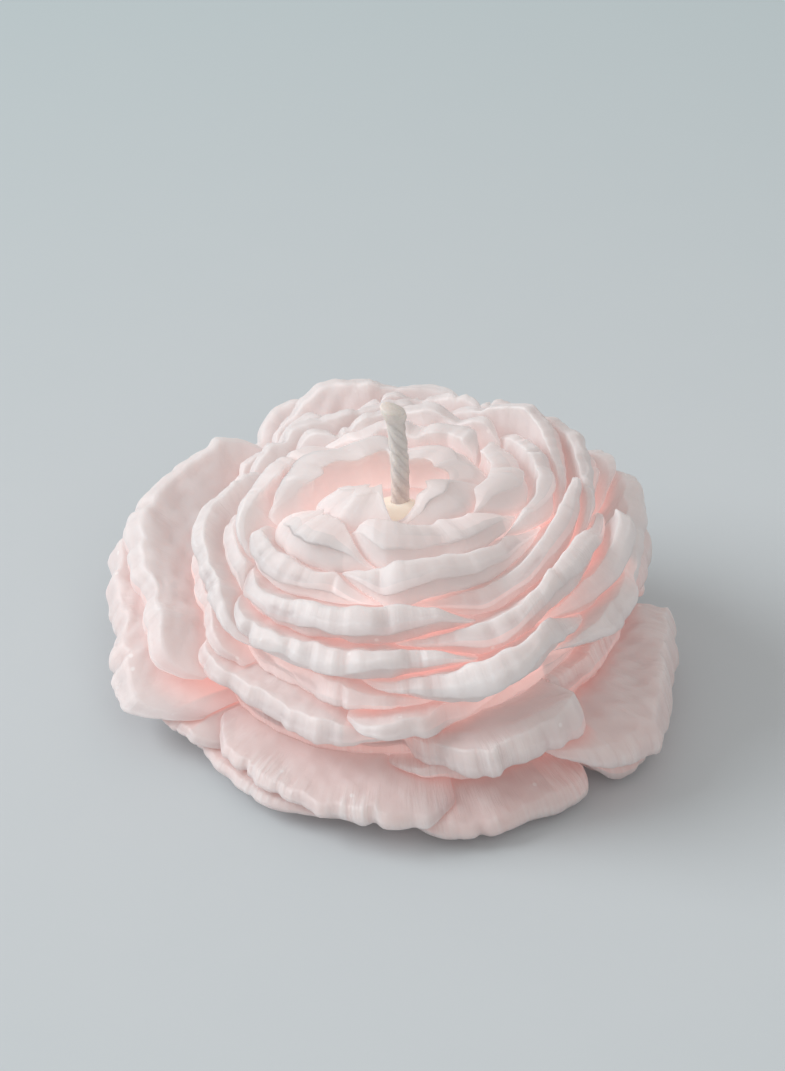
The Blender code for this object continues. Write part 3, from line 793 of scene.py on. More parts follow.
# %% The section: flared lips, hollow faces and lumps
LIP_INNER_SHARE = 0.08
LIP_OUTER_SHARE = 0.56
THINNING_POWER = 2.0
TAPER_POWER = 5.0
FLARE_SHARES = (0.4, 0.45, 0.85, 1.0, 1.0, 1.0, 1.0, 0.9, 0.7, 0.5)
FLARE_WAVES = (0.016, 0.007, 5)
FLARE_STRETCH = 0.4
FLARE_MEAN = 0.80
FLARE_CHANGE = 0.35
FLARE_LEAST = 0.25
ROLL_START = 0.90
ROLL_END = 0.98
ROLL_INNER_SHARE = 0.34
ROLL_OUTER_SHARE = 0.16
HOLLOW_SHARE = 0.42
HOLLOW_PLACE = 0.82
HOLLOW_SPREAD = 0.18
THICKNESS_WAVES = (0.012, 0.003, 6)
THICKNESS_ROOT_CHANGE = 0.08
THICKNESS_LIP_CHANGE = 0.14
LUMP_WAVES = (0.009, 0.0022, 8)
LUMP_ROOT_SHARE = 0.016
LUMP_LIP_SHARE = 0.035
LUMP_SHARES = (2.6, 2.4, 1.4, 1.1, 1.0, 1.0, 1.0, 1.0, 1.0, 1.0)
LUMP_ROOT_FADE = 3.0
LUMP_LIP_FADE = 8.0


def petal_section(petal, seed, across_metres, along, distance, gap_share):
    """Inner and outer face of a petal, as shares of its room."""
    thinning = along**THINNING_POWER
    taper = along**TAPER_POWER
    low = gap_share * (1 - thinning) + LIP_INNER_SHARE * thinning
    high = (1 - gap_share) * (1 - taper) + LIP_OUTER_SHARE * taper
    wave = ripples(across_metres, distance * FLARE_STRETCH, seed + 30, *FLARE_WAVES)
    flare = FLARE_SHARES[petal.row - 1] * np.clip(FLARE_MEAN + FLARE_CHANGE * wave, FLARE_LEAST, 1.0)
    roll = flare * smooth_step((along - ROLL_START) / (ROLL_END - ROLL_START))
    hollow = flare * np.exp(-(((along - HOLLOW_PLACE) / HOLLOW_SPREAD) ** 2)) - roll
    low = low + ROLL_INNER_SHARE * roll
    high = high - HOLLOW_SHARE * np.clip(hollow, 0.0, 1.0) + ROLL_OUTER_SHARE * roll
    return low, high


def petal_thickness(seed, across_metres, along, distance):
    """How much thicker or thinner than its section a hand-pressed leaf is."""
    change = THICKNESS_ROOT_CHANGE + THICKNESS_LIP_CHANGE * along**THINNING_POWER
    return 1.0 + change * ripples(across_metres, distance, seed + 90, *THICKNESS_WAVES)


def petal_lumps(petal, seed, across_metres, along, distance):
    """Lumps that move both faces together, as shares of the room."""
    lumps = LUMP_ROOT_SHARE + LUMP_LIP_SHARE * along**TAPER_POWER
    lumps = lumps * ripples(across_metres, distance, seed + 60, *LUMP_WAVES)
    lumps = lumps * LUMP_SHARES[petal.row - 1] * smooth_step(along * LUMP_ROOT_FADE)
    return lumps * smooth_step((1.0 - along) * LUMP_LIP_FADE)


lip_faces = petal_section(PETALS[20], 1, np.zeros(1), np.ones(1), np.zeros(1), 0.0)
print("faces of a lip, as shares of its room:", [round(float(face[0]), 2) for face in lip_faces])

# %% The skirt's flutes
# Each wave of the flutes has a count round the flower, a strength and a twist from layer to layer
FLUTE_DEPTH = 0.00028
FLUTE_COUNTS = ((27, 1.0, 0.4), (46, 0.7, 0.9), (79, 0.4, 1.6))
FLUTE_POWER = 1.2
FLUTE_SHARES = (0.2, 0.2, 0.2, 0.3, 0.4, 0.5, 0.7, 1.0, 0.9, 0.3)


def flutes(petal, layer, distance, azimuth):
    """The finer upright waves of the skirt, cut inwards so that the flower grows no wider."""
    share = FLUTE_SHARES[petal.row - 1] * (distance / LONGEST_PETAL) ** FLUTE_POWER
    waves = (
        strength * (np.sin(count * azimuth + twist * layer) - 1.0)
        for count, strength, twist in FLUTE_COUNTS
    )
    return FLUTE_DEPTH * share * sum(waves)


print("flutes round the flower:", [count for count, strength, twist in FLUTE_COUNTS])

# %% [markdown]
# Wax looks pink where it lies deep in the shade behind the lips of its neighbours, and that shade is
# painted:
# the wax turns pink and glows there by how deep the place lies. That depth could be painted on by hand. Here
# each petal measures it: at every place of its grid it asks how far out the neighbours' lips reach there, on
# its outer and on its inner side, and stores both in the map that the wax reads.

# %% The folds
# Neighbours up to so many layers and rows away still shade a fold
FOLD_REACH = 1.7
FOLD_ROWS = 2
HEART_FOLD_ROWS = 2
HEART_FOLD_SHARE = 0.8


def lip_distance(petal, turn):
    """How far out the smooth lip of a petal is, at a turn from its middle."""
    first, last = petal_turns(petal)
    length = LONGEST_PETAL * by_layer(PETAL_LENGTH_SHARES, petal.row + petal.azimuth / 360.0)
    across = (turn - first) / (last - first) * 2.0 - 1.0
    return length * petal.reach * spline_at(OUTLINE_SHARES[petal.outline], np.clip(across, -1.0, 1.0))


def fold_depths(petal, layer, distance, azimuth):
    """How deep a place lies behind the lips of the petals outside and inside it."""
    outside = np.zeros_like(distance)
    inside = np.zeros_like(distance)
    degrees = np.degrees(azimuth)
    for other in PETALS:
        if other == petal or abs(other.row - petal.row) > FOLD_ROWS:
            continue
        turn = (degrees - other.azimuth + 180.0) % 360.0 - 180.0
        first, last = petal_turns(other)
        cover = (turn > first) & (turn < last)
        if not cover.any():
            continue
        other_inner, other_outer = petal_room(other, np.clip(turn, first, last))
        step = (other_inner + other_outer) / 2.0 - layer
        behind = lip_distance(other, turn) - distance
        near = np.clip(FOLD_REACH - np.abs(step), 0.0, 1.0) * cover
        outside = np.maximum(outside, behind * near * (step > 0.0))
        inside = np.maximum(inside, behind * near * (step < 0.0))
    if petal.row <= HEART_FOLD_ROWS:
        turn = degrees - petal.azimuth
        inside = np.maximum(inside, HEART_FOLD_SHARE * (lip_distance(petal, turn) - distance))
    return outside, inside


print("the first petal's lip at its middle, in mm:", round(1000 * float(lip_distance(PETALS[0], 0.0)), 1))

# %% All the petals
COLUMNS = 100
ROWS = 46
LEAST_RIM = 0.04
HEART_WAX_ROWS = 3
BLOOM_WAX_ROWS = 7


def petal_grid(petal):
    """A petal's length and width, and its places across (-1 to 1) and along (0 to 1), with their turns."""
    first, last = petal_turns(petal)
    layer = petal.row + petal.azimuth / 360.0
    length = LONGEST_PETAL * by_layer(PETAL_LENGTH_SHARES, layer)
    lip_radius, _ = layer_point(layer, length, math.radians(petal.azimuth))
    width = float(np.radians(last - first) * lip_radius)
    across = eased_share(COLUMNS, SIDE_ROUND / width, True) * 2.0 - 1.0
    along = eased_share(ROWS, LIP_ROUND / (length * petal.reach), False)
    across, along = np.meshgrid(across, along)
    turn = first + (last - first) * (across + 1.0) / 2.0
    return length, width, across, along, turn


def petal_face(petal, layer, distance, azimuth):
    """Points of one face of a petal, ruffled, fluted, skewed and kept inside the box."""
    radius, height = layer_point(layer, distance, azimuth)
    radius = radius + ruffle(layer, distance, azimuth) + flutes(petal, layer, distance, azimuth)
    x, y, z = skew(radius * np.cos(azimuth), radius * np.sin(azimuth), height)
    x = inside_box(x, start_low[0], start_high[0])
    y = inside_box(y, start_low[1], start_high[1])
    return np.stack([x, y, z], axis=-1)


def detailed_petal(petal, seed):
    """Both faces of a petal on a fine grid, with its map and its folds in millimetres."""
    length, width, across, along, turn = petal_grid(petal)
    azimuth = np.radians(petal.azimuth + turn)
    across_metres = across * width / 2.0
    smooth_lip, ragged = torn_lip(petal, seed, length, across, across_metres)
    lip = smooth_lip + ragged
    distance = ROOT_CLEARANCE + (smooth_lip - ROOT_CLEARANCE) * along + ragged * along**4
    inner, outer = petal_room(petal, turn)
    half_gap = CLEARANCE / 2.0 / layer_pitch((inner + outer) / 2.0, distance, azimuth)
    room = outer - inner
    low, high = petal_section(petal, seed, across_metres, along, distance, half_gap / room)
    edge = roundness((1.0 - along) * (lip - ROOT_CLEARANCE), LIP_ROUND)
    side = roundness((1.0 - np.abs(across)) * width / 2.0, SIDE_ROUND)
    rim = np.maximum(edge * side, LEAST_RIM)
    middle = (low + high) / 2.0
    half = (high - low) / 2.0 * rim * petal_thickness(seed, across_metres, along, distance)
    lumps = petal_lumps(petal, seed, across_metres, along, distance)
    layers = [inner + room * (middle + sign * half + lumps) for sign in (1.0, -1.0)]
    faces = [petal_face(petal, layer, distance, azimuth) for layer in layers]
    from_lip = (lip - distance) * 1000.0
    folds = [depth * 1000.0 for depth in fold_depths(petal, inner + room * middle, distance, azimuth)]
    return faces, across_metres * 1000.0 + 100.0 * seed, from_lip, folds


def petal_wax(petal):
    """The heart's wax for the inner rows, the bloom's for the next ones, then the skirt's."""
    if petal.row <= HEART_WAX_ROWS:
        return heart_wax
    return bloom_wax if petal.row <= BLOOM_WAX_ROWS else skirt_wax


def enclosed_volume(data):
    """What a closed mesh holds: above zero where its faces point outwards."""
    mesh = bmesh.new()
    mesh.from_mesh(data)
    volume = mesh.calc_volume(signed=True)
    mesh.free()
    return volume


counts = [0] * len(ROW_NAMES)
total = 0
volumes = []
for seed, petal in enumerate(PETALS, start=1):
    counts[petal.row - 1] += 1
    node = f"{ROW_NAMES[petal.row - 1]}_petal_{counts[petal.row - 1]}"
    petal_data = mesh_from_sheets(f"{node}_looks", *detailed_petal(petal, seed))
    put(f"{node}_looks", petal_data, petal_wax(petal), node, f"{node}_wax")
    total += len(petal_data.polygons)
    volumes.append(enclosed_volume(petal_data))
print("petals:", len(PETALS), "faces:", total, "least volume, mm3:", round(min(volumes) * 1e9, 1))

# %% [markdown]
# ## The core, its seal and the tab
#
# The core shows only round the wick. A sphere squashed by hand would do for that, but the core carries
# every petal, so it is turned from the same dome that the layers grow from, with the unevenness of poured
# wax, and bored by a stepped cutter as in the model. The same cutter, made narrower, bores the seal,
# because that wax was poured round the wick and meets it. The tab is pressed metal: its modelled shape is
# kept and only gets a finish.

# %% Turned shapes
def turned_mesh(name, profile, sides, shape=None):
    """Spins a closed outline of (radius, height) points round the wick's axis."""
    mesh = bmesh.new()
    rings = []
    for radius, height in profile:
        if radius <= 0.0:
            rings.append([mesh.verts.new((0.0, 0.0, height))] * sides)
            continue
        turns = [2.0 * math.pi * k / sides for k in range(sides)]
        rings.append([mesh.verts.new((radius * math.cos(t), radius * math.sin(t), height)) for t in turns])
    for low, high in zip(rings, rings[1:]):
        for k in range(sides):
            corners = (low[k], low[k - sides + 1], high[k - sides + 1], high[k])
            mesh.faces.new([v for n, v in enumerate(corners) if v not in corners[:n]])
    if shape is not None:
        for vert in mesh.verts:
            vert.co = shape(vert.co)
    bmesh.ops.recalc_face_normals(mesh, faces=mesh.faces)
    data = bpy.data.meshes.new(name)
    mesh.to_mesh(data)
    mesh.free()
    data.shade_smooth()
    data.set_sharp_from_angle(angle=math.radians(40.0))
    return data


def finished(name, data, modifier_kind, set_up):
    """The plain mesh that a modifier makes of a mesh."""
    thing = link_object(name, data)
    set_up(thing.modifiers.new(name, modifier_kind))
    graph = bpy.context.evaluated_depsgraph_get()
    result = bpy.data.meshes.new_from_object(thing.evaluated_get(graph), depsgraph=graph)
    bpy.data.objects.remove(thing, do_unlink=True)
    result.name = name
    return result


print("shape helpers ready:", turned_mesh.__name__, finished.__name__)

# %% The way for the wick
WICK_RADIUS = 0.0014
TAB_RADIUS = 0.0075
TAB_THICKNESS = 0.0005
TAB_NECK_RADIUS = 0.0023
TAB_NECK_HEIGHT = 0.006
BORE_SIDE_COUNT = 16
CUT_OVERRUN = 0.004


def make_wick_way():
    """The stepped bore for the wick, its neck and its tab: a hidden cutter."""
    neck_radius = TAB_NECK_RADIUS + CLEARANCE
    recess_radius = TAB_RADIUS + CLEARANCE
    bore_radius = WICK_RADIUS + CLEARANCE
    recess_height = TAB_THICKNESS + CLEARANCE
    neck_height = TAB_NECK_HEIGHT + CLEARANCE
    top_height = CORE_TOP + CUT_OVERRUN
    profile = [
        (0.0, -CUT_OVERRUN),
        (recess_radius, -CUT_OVERRUN),
        (recess_radius, recess_height),
        (neck_radius, recess_height),
        (neck_radius, neck_height),
        (bore_radius, neck_height),
        (bore_radius, top_height),
        (0.0, top_height),
    ]
    cutter = link_object("wick_way", turned_mesh("wick_way", profile, BORE_SIDE_COUNT))
    cutter.hide_render = True
    cutter.display_type = "WIRE"
    return cutter


def bored(name, data, cutter):
    """The mesh of a piece with the wick's way cut out."""

    def set_up(cut):
        cut.operation = "DIFFERENCE"
        cut.solver = "EXACT"
        cut.object = cutter

    return finished(name, data, "BOOLEAN", set_up)


cutter = make_wick_way()
print("faces of the wick's way:", len(cutter.data.polygons))

# %% The core
CORE_RINGS = 60
CORE_SIDES = 128
CORE_UNEVENNESS = 0.00015
CORE_WAVES = (0.012, 0.004, 6)


def core_shape(point):
    """The dome, slightly lumpy above its foot, leaned and tilted with the bloom."""
    lift = smooth_step((point.z - CORE_FOOT_HEIGHT) / CORE_FOOT_HEIGHT)
    sink = CORE_UNEVENNESS * (1.0 + float(ripples(point.x, point.y, 7, *CORE_WAVES))) * float(lift)
    x, y, z = skew(point.x, point.y, point.z)
    return float(x), float(y), float(z) - sink


angles = [math.pi / 2.0 * k / CORE_RINGS for k in range(CORE_RINGS + 1)]
profile = [tuple(float(v) for v in dome_point(angle)) for angle in angles]
profile[0] = (0.0, profile[0][1])
profile += [(CORE_RADIUS, 0.0), (0.0, 0.0)]
core_data = bored("core_looks", turned_mesh("core_looks", profile, CORE_SIDES, core_shape), cutter)
# Painted shade and glow: the core takes the heart's pink fold shade as its colour all over, and a faint
# emission
core_wax = wax_material("core_wax", HEART_FOLD_SHADE, HEART_FOLD_SHADE, HEART_FOLD_SHADE, 3.0, 0.0, painted_glow=0.28)
glow_evenly(core_wax, HEART_FOLD_SHADE)
put("core_looks", core_data, core_wax, "core", "core_wax")
print("core faces:", len(core_data.polygons))

# %% The seal
SEAL_RADIUS = 0.0029
SEAL_THICKNESS = 0.0014
SEAL_WAVE_SHARE = 0.08
SEAL_BRIM_SHARE = 0.30
SEAL_RINGS = 24
SEAL_SIDES = 96
SEAL_UNEVENNESS = 0.10
SEAL_WAVES = (0.004, 0.0015, 6)
SEAL_BORE_CLEARANCE = 0.00004
CREAM = (0.97, 0.87, 0.76)


def seal_look(point):
    """The seal's lens, with a rounded brim, laid on the dome."""
    radius = math.hypot(point.x, point.y)
    turn = math.atan2(point.y, point.x)
    wave = 1.0 - SEAL_WAVE_SHARE * math.sin(3.0 * turn)
    x, y = point.x * wave, point.y * wave
    reach = math.hypot(x, y)
    floor = CORE_FOOT_HEIGHT + CORE_DOME_HEIGHT * math.sqrt(1.0 - (reach / CORE_RADIUS) ** 2)
    share = min(radius / SEAL_RADIUS, 1.0)
    brim = math.sqrt(max(1.0 - share**4, 0.0)) * (1.0 - SEAL_BRIM_SHARE * share * share)
    ripple = 1.0 + SEAL_UNEVENNESS * float(ripples(x, y, 3, *SEAL_WAVES))
    return tuple(float(v) for v in skew(x, y, floor + CLEARANCE + point.z * brim * ripple))


rings = [SEAL_RADIUS * math.sin(math.pi / 2.0 * k / SEAL_RINGS) for k in range(SEAL_RINGS + 1)]
profile = [(r, 0.0) for r in rings[:-1]] + [(SEAL_RADIUS, SEAL_THICKNESS / 2.0)]
profile += [(r, SEAL_THICKNESS) for r in reversed(rings[:-1])]
bore_share = (WICK_RADIUS + SEAL_BORE_CLEARANCE) / (WICK_RADIUS + CLEARANCE)
cutter.scale = (bore_share, bore_share, 1.0)
seal_data = bored("wick_seal_looks", turned_mesh("wick_seal_looks", profile, SEAL_SIDES, seal_look), cutter)
bpy.data.objects.remove(cutter, do_unlink=True)
# Painted glow: a faint emission of its cream colour lightens the seal in the petals' shade
seal_wax = wax_material("cream_wax", CREAM, CREAM, CREAM, 3.0, 0.0, painted_glow=0.14, glow_length=0.0006)
glow_evenly(seal_wax, CREAM)
put("wick_seal_looks", seal_data, seal_wax, "wick_seal", "seal_wax")
print("seal faces:", len(seal_data.polygons))

# %% The tab
tab_metal, tab_tree, tab_shader = new_material("tab_metal")
tab_shader.inputs["Metallic"].default_value = 1.0
tab_place = add(tab_tree, "ShaderNodeTexCoord").outputs["Object"]
tab_noise = noise(tab_tree, tab_place, 1500.0, 2.0)
tab_colour = mix_colour(tab_tree, tab_noise, (0.62, 0.62, 0.60, 1.0), (0.74, 0.74, 0.72, 1.0))
tab_tree.links.new(tab_colour, tab_shader.inputs["Base Color"])
tab_tree.links.new(fade(tab_tree, tab_noise, *NOISE_BAND, 0.28, 0.45), tab_shader.inputs["Roughness"])
tab_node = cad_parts["wick_tab"]
tab_node.data.materials.clear()
tab_node.data.materials.append(tab_metal)
print("tab keeps its modelled shape, with", tab_metal.name)

# %% [markdown]
# ## The wick
#
# Cotton yarns stiffened with wax: they show through the coat, which has a crease where it was once bent and
# a thicker, clenched end. It starts in the tab and passes the core's bore. A plain tube with a twisted
# texture would look flat at its edges, so both the coat and the yarns are shapes. The coat is a grid,
# computed ring by ring like the petals, because its end and its crease are one-off shapes.

# %% The coat's grid
WICK_FREE_LENGTH = 0.0183
WICK_STRAIGHT_LENGTH = 0.004
WICK_FOOT_HEIGHT = 0.0006
WICK_KNOT_LENGTH = 0.0035
WICK_KNOT_SHARE = 1.42
WICK_TIP_SHIFT = 0.0012
WICK_TIP = CORE_TOP + WICK_FREE_LENGTH
WICK_KNOT = WICK_TIP - WICK_KNOT_LENGTH
WICK_SIDES = 64
WICK_STEPS = 260


def tube_mesh(name, rings):
    """A closed tube from rings of points."""
    steps, sides = rings.shape[:2]
    number = np.arange(steps * sides).reshape(steps, sides)
    right = np.roll(number, -1, axis=1)
    quads = np.stack([number[:-1], right[:-1], right[1:], number[1:]], axis=-1).reshape(-1, 4)
    points = rings.reshape(-1, 3).tolist()
    points += [rings[0].mean(axis=0).tolist(), rings[-1].mean(axis=0).tolist()]
    low, high = len(points) - 2, len(points) - 1
    faces = quads.tolist()
    faces += [[low, int(b), int(a)] for a, b in zip(number[0], right[0])]
    faces += [[high, int(a), int(b)] for a, b in zip(number[-1], right[-1])]
    data = bpy.data.meshes.new(name)
    data.from_pydata(points, [], faces)
    data.shade_smooth()
    return data


turn = np.linspace(0.0, 2.0 * math.pi, WICK_SIDES, endpoint=False)
turn, height = np.meshgrid(turn, np.linspace(WICK_FOOT_HEIGHT, WICK_TIP, WICK_STEPS))
print("wick, in mm:", round(1000 * WICK_TIP, 1), "rings:", len(height))

# %% The coat's shape
COAT_SHARE = 0.95
COAT_UNEVENNESS = 0.03
COAT_WAVES = (5.0, 1.5, 6)
COAT_WAVE_HEIGHT = 700.0
CREASE_DROP = 0.0085
CREASE_WIDTH = 0.0005
CREASE_DEPTH = 0.00016
CREASE_AZIMUTH = 4.0
KNOT_START = 0.0012
NECK_SHARE = 0.06
NECK_WIDTH = 0.0016
END_ROUND = 0.0006
END_SLOPE = 0.28
FOOT_ROUND = 0.0003


def coat_radius(turn, height):
    """The coat's radius: a crease, a neck, a clenched end, and rounded ends."""
    crease = np.exp(-(((height - (WICK_TIP - CREASE_DROP)) / CREASE_WIDTH) ** 2))
    radius = WICK_RADIUS * COAT_SHARE - CREASE_DEPTH * crease * (1.0 + 0.5 * np.cos(turn - CREASE_AZIMUTH))
    clench = smooth_step((height - WICK_KNOT + KNOT_START) / WICK_KNOT_LENGTH)
    clench = (WICK_KNOT_SHARE - 1.0) * clench**1.5 * (0.86 + 0.14 * np.cos(2.0 * turn))
    neck = np.exp(-(((height - WICK_KNOT) / NECK_WIDTH) ** 2))
    radius = radius * (1.0 + clench - NECK_SHARE * neck)
    free = smooth_step((height - CORE_TOP) / WICK_FREE_LENGTH * 3.0)
    uneven = ripples(turn, height * COAT_WAVE_HEIGHT, 11, *COAT_WAVES)
    radius = radius * (1.0 + COAT_UNEVENNESS * free * uneven)
    end = np.clip((height - (WICK_TIP - END_ROUND)) / END_ROUND, 0.0, 1.0)
    radius = radius * np.sqrt(np.clip(1.0 - 0.97 * end**3, 0.0, 1.0))
    foot = np.clip((WICK_FOOT_HEIGHT + FOOT_ROUND - height) / FOOT_ROUND, 0.0, 1.0)
    return radius * np.sqrt(1.0 - 0.9 * foot * foot)


def coat_points(turn, height):
    """The coat's skin, ring by ring: bent to the left, with a slanting end."""
    radius = coat_radius(turn, height)
    bend_height = CORE_TOP + WICK_STRAIGHT_LENGTH
    bent = np.clip(height - bend_height, 0.0, None) / (WICK_FREE_LENGTH - WICK_STRAIGHT_LENGTH)
    x = radius * np.cos(turn) - WICK_TIP_SHIFT * bent * bent
    y = radius * np.sin(turn)
    slant = END_SLOPE * smooth_step((height - WICK_KNOT) / WICK_KNOT_LENGTH)
    slant = slant * (radius * np.cos(turn) + WICK_RADIUS * WICK_KNOT_SHARE)
    return np.stack([x, y, height - slant], axis=-1)


coat_data = tube_mesh("wick_coat", coat_points(turn, height))
print("coat faces:", len(coat_data.polygons))

# %% Waxed cotton
COTTON_BODY = {
    "Subsurface Weight": 0.25,
    "Subsurface Radius": (1.0, 0.7, 0.5),
    "Subsurface Scale": 0.0012,
}
COTTON_PALE = (0.93, 0.86, 0.80, 1.0)
COTTON_STAIN = (0.78, 0.63, 0.55, 1.0)
COTTON_DARK = (0.60, 0.50, 0.42, 1.0)
THREAD_STRETCH = (1.0, 1.0, 2.6)

cotton, cotton_tree, cotton_shader = new_material("waxed_cotton")
set_inputs(cotton_shader, COTTON_BODY)
cotton_place = add(cotton_tree, "ShaderNodeTexCoord").outputs["Object"]
thread_links = [(0, cotton_place), (1, THREAD_STRETCH)]
thread_place = add(cotton_tree, "ShaderNodeVectorMath", thread_links, operation="MULTIPLY").outputs[0]
threads = noise(cotton_tree, thread_place, 2600.0, 3.0, 0.6)
stain_share = fade(cotton_tree, noise(cotton_tree, cotton_place, 420.0, 2.0), 0.35, 0.75, 0.0, 0.30)
cotton_colour = mix_colour(cotton_tree, stain_share, COTTON_PALE, COTTON_STAIN)
thread_share = fade(cotton_tree, threads, 0.35, 0.65, 0.0, 0.16)
cotton_colour = mix_colour(cotton_tree, thread_share, cotton_colour, COTTON_DARK)
cotton_bump = add(cotton_tree, "ShaderNodeBump", [("Height", threads)])
set_inputs(cotton_bump, {"Strength": 0.5, "Distance": 0.0002})
cotton_tree.links.new(cotton_colour, cotton_shader.inputs["Base Color"])
cotton_tree.links.new(fade(cotton_tree, threads, *NOISE_BAND, 0.5, 0.75), cotton_shader.inputs["Roughness"])
cotton_tree.links.new(cotton_bump.outputs["Normal"], cotton_shader.inputs["Normal"])
print("cotton nodes:", len(cotton_tree.nodes))

# %% [markdown]
# ### The yarns
#
# The yarns repeat and follow a path. They could be swept one by one in a loop, but this is work for
# Geometry Nodes: one spiral, copied round the axis, bent as the wick is, given a round section, and joined
# to the coat. The tree's sizes are named inputs, set by each socket's identifier before the object is
# evaluated. The result is turned into a plain mesh.

# %% Four yarns round the coat
YARN_COUNT = 4
YARN_RADIUS = 0.00048
YARN_PITCH = 0.0105
YARN_SIDES = 12
YARN_STEPS = 48
YARN_BULGE = 0.00009


def yarn_spirals(tree, size):
    """Straight spirals, one for each yarn, round the wick's axis."""
    rounds = maths(tree, "DIVIDE", size["Length"], size["Pitch"])
    spiral_sizes = (YARN_STEPS, rounds, size["Wind Radius"], size["Wind Radius"], size["Length"])
    spiral = add(tree, "GeometryNodeCurveSpiral", enumerate(spiral_sizes)).outputs[0]
    lift = add(tree, "ShaderNodeCombineXYZ", [(2, size["Foot Height"])]).outputs[0]
    raised = add(tree, "GeometryNodeTransform", [(0, spiral), ("Translation", lift)]).outputs[0]
    points = add(tree, "GeometryNodePoints", [(0, size["Yarn Count"])]).outputs[0]
    number = add(tree, "GeometryNodeInputIndex").outputs[0]
    turn = maths(tree, "MULTIPLY", maths(tree, "DIVIDE", number, size["Yarn Count"]), 2.0 * math.pi)
    spin = add(tree, "ShaderNodeCombineXYZ", [(2, turn)]).outputs[0]
    copy_links = [("Points", points), ("Instance", raised), ("Rotation", spin)]
    copies = add(tree, "GeometryNodeInstanceOnPoints", copy_links)
    return add(tree, "GeometryNodeRealizeInstances", [(0, copies.outputs[0])]).outputs[0]


def bend_paths(tree, size, paths):
    """The spirals, bent to one side as the coat is."""
    height = split(tree, add(tree, "GeometryNodeInputPosition").outputs[0])[2]
    top = maths(tree, "ADD", size["Bend Height"], size["Bend Length"])
    squared = maths(tree, "POWER", fade(tree, height, size["Bend Height"], top), 2.0)
    offset = add(tree, "ShaderNodeCombineXYZ", [(0, maths(tree, "MULTIPLY", squared, size["Tip Shift"]))])
    return add(tree, "GeometryNodeSetPosition", [(0, paths), ("Offset", offset.outputs[0])]).outputs[0]


def build_yarn_tree(sizes):
    """The node tree that winds yarns round a bent wick and joins them to its coat."""
    tree = bpy.data.node_groups.new("wick_yarns", "GeometryNodeTree")
    kinds = {"Coat": "NodeSocketGeometry"}
    for label, value in sizes.items():
        kinds[label] = "NodeSocketInt" if isinstance(value, int) else "NodeSocketFloat"
    kinds["Cotton"] = "NodeSocketMaterial"
    sockets = {}
    for label, kind in kinds.items():
        sockets[label] = tree.interface.new_socket(label, in_out="INPUT", socket_type=kind).identifier
    tree.interface.new_socket("Wick", in_out="OUTPUT", socket_type="NodeSocketGeometry")
    size = add(tree, "NodeGroupInput").outputs
    outlet = add(tree, "NodeGroupOutput").inputs
    paths = bend_paths(tree, size, yarn_spirals(tree, size))
    section_sizes = [("Resolution", YARN_SIDES), ("Radius", size["Yarn Radius"])]
    section = add(tree, "GeometryNodeCurvePrimitiveCircle", section_sizes)
    tube_links = [("Curve", paths), ("Profile Curve", section.outputs[0]), ("Fill Caps", True)]
    tubes = add(tree, "GeometryNodeCurveToMesh", tube_links)
    smooth = add(tree, "GeometryNodeSetShadeSmooth", [(0, tubes.outputs[0])])
    joined = add(tree, "GeometryNodeJoinGeometry", [(0, smooth.outputs[0]), (0, size["Coat"])])
    real = add(tree, "GeometryNodeRealizeInstances", [(0, joined.outputs[0])])
    painted = add(tree, "GeometryNodeSetMaterial", [(0, real.outputs[0]), ("Material", size["Cotton"])])
    tree.links.new(painted.outputs[0], outlet[0])
    return tree, sockets


def wound(name, coat, sizes, material):
    """The plain mesh of a coat with its yarns."""

    def set_up(winding):
        winding.node_group, sockets = build_yarn_tree(sizes)
        for label, value in {**sizes, "Cotton": material}.items():
            winding[sockets[label]] = value

    result = finished(name, coat, "NODES", set_up)
    result.materials.clear()
    return result


wick_sizes = {
    "Yarn Count": YARN_COUNT,
    "Yarn Radius": YARN_RADIUS,
    "Wind Radius": WICK_RADIUS * COAT_SHARE + YARN_BULGE - YARN_RADIUS,
    "Pitch": YARN_PITCH,
    "Foot Height": WICK_FOOT_HEIGHT + YARN_RADIUS,
    "Length": WICK_TIP - WICK_KNOT_LENGTH / 2.0 - WICK_FOOT_HEIGHT,
    "Bend Height": CORE_TOP + WICK_STRAIGHT_LENGTH,
    "Bend Length": WICK_FREE_LENGTH - WICK_STRAIGHT_LENGTH,
    "Tip Shift": -WICK_TIP_SHIFT,
}
wick_data = wound("wick_looks", coat_data, wick_sizes, cotton)
put("wick_looks", wick_data, cotton, "wick", "wick_cotton")
print("wick faces:", len(wick_data.polygons))

# %% [markdown]
# ## The room
#
# A pale grey-blue table that fills the picture, one large soft window from the upper left, and a weak fill
# so that the folds on the right stay pink and not black. A painted backdrop would give the same grey, but
# not the soft shadow that sets the candle down. The table's paint turns a little darker and greener away
# from
# the candle: painted shade, a falloff of light round the candle painted into its colour, not made by lamps.

# %% The table
FLOOR_HALF = 2.5
PAINT_NEAR = ((0.640, 0.696, 0.722, 1.0), (0.654, 0.708, 0.732, 1.0))
# Painted shade: the table's colour darkens and greens away from the candle, as light falls off round it
PAINT_FAR_SHADE = (0.538, 0.642, 0.662, 1.0)
PAINT_SHADE_RANGE = (0.08, 0.34)

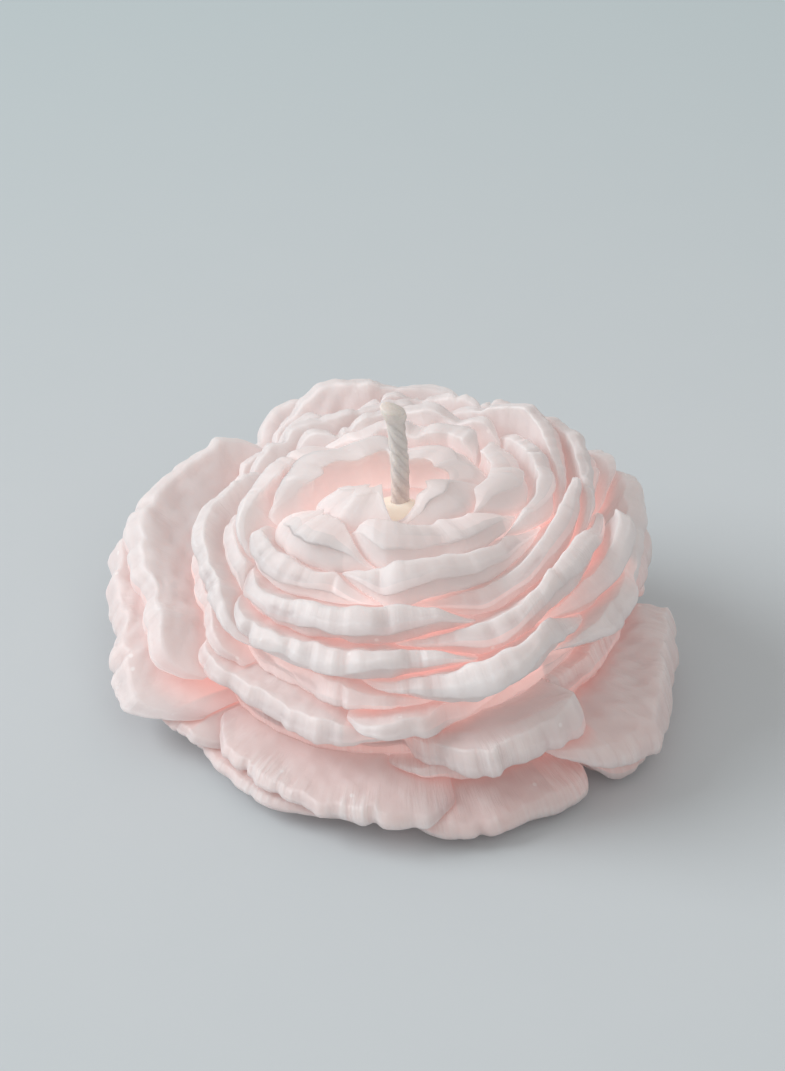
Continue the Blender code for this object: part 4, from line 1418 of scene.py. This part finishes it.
corners = [(-FLOOR_HALF, -FLOOR_HALF, 0.0), (FLOOR_HALF, -FLOOR_HALF, 0.0)]
corners += [(FLOOR_HALF, FLOOR_HALF, 0.0), (-FLOOR_HALF, FLOOR_HALF, 0.0)]
floor_data = bpy.data.meshes.new("table_top")
floor_data.from_pydata(corners, [], [(0, 1, 2, 3)])
paint, paint_tree, paint_shader = new_material("table_paint")
paint_place = add(paint_tree, "ShaderNodeTexCoord").outputs["Object"]
paint_near = mix_colour(paint_tree, noise(paint_tree, paint_place, 60.0, 4.0), *PAINT_NEAR)
shade_away = add(paint_tree, "ShaderNodeVectorMath", [(0, paint_place)], operation="LENGTH").outputs["Value"]
# Painted shade: the paint turns to the far colour with distance from the candle
paint_and_shade_colour = mix_colour(paint_tree, fade(paint_tree, shade_away, *PAINT_SHADE_RANGE), paint_near, PAINT_FAR_SHADE)
paint_tree.links.new(paint_and_shade_colour, paint_shader.inputs["Base Color"])
set_inputs(paint_shader, {"Roughness": 0.85, "Specular IOR Level": 0.2})
floor = link_object("table_top", floor_data, paint)
floor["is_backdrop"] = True
print("table, in metres:", 2 * FLOOR_HALF)

# %% The light
BLOOM_MIDDLE = (0.0, 0.0, 0.02)


def soft_light(name, location, size, power, colour):
    """A large soft lamp that looks at the bloom's middle."""
    lamp = bpy.data.lights.new(name, "AREA")
    lamp.shape = "DISK"
    lamp.size = size
    lamp.energy = power
    lamp.color = colour
    thing = link_object(name, lamp)
    thing.location = location
    away = np.array(location) - np.array(BLOOM_MIDDLE)
    flat = math.hypot(away[0], away[1])
    thing.rotation_euler = (math.atan2(flat, away[2]), 0.0, math.atan2(away[0], -away[1]))


soft_light("window", (-1.66, 0.16, 1.14), 1.5, 26.0, (0.96, 0.98, 1.0))
soft_light("fill", (0.25, -0.9, 0.9), 0.9, 1.6, (1.0, 0.96, 0.94))
world = bpy.data.worlds.new("room")
bpy.context.scene.world = world
world.use_nodes = True
set_inputs(world.node_tree.nodes["Background"], {"Color": (0.97, 0.935, 0.915, 1.0), "Strength": 0.50})
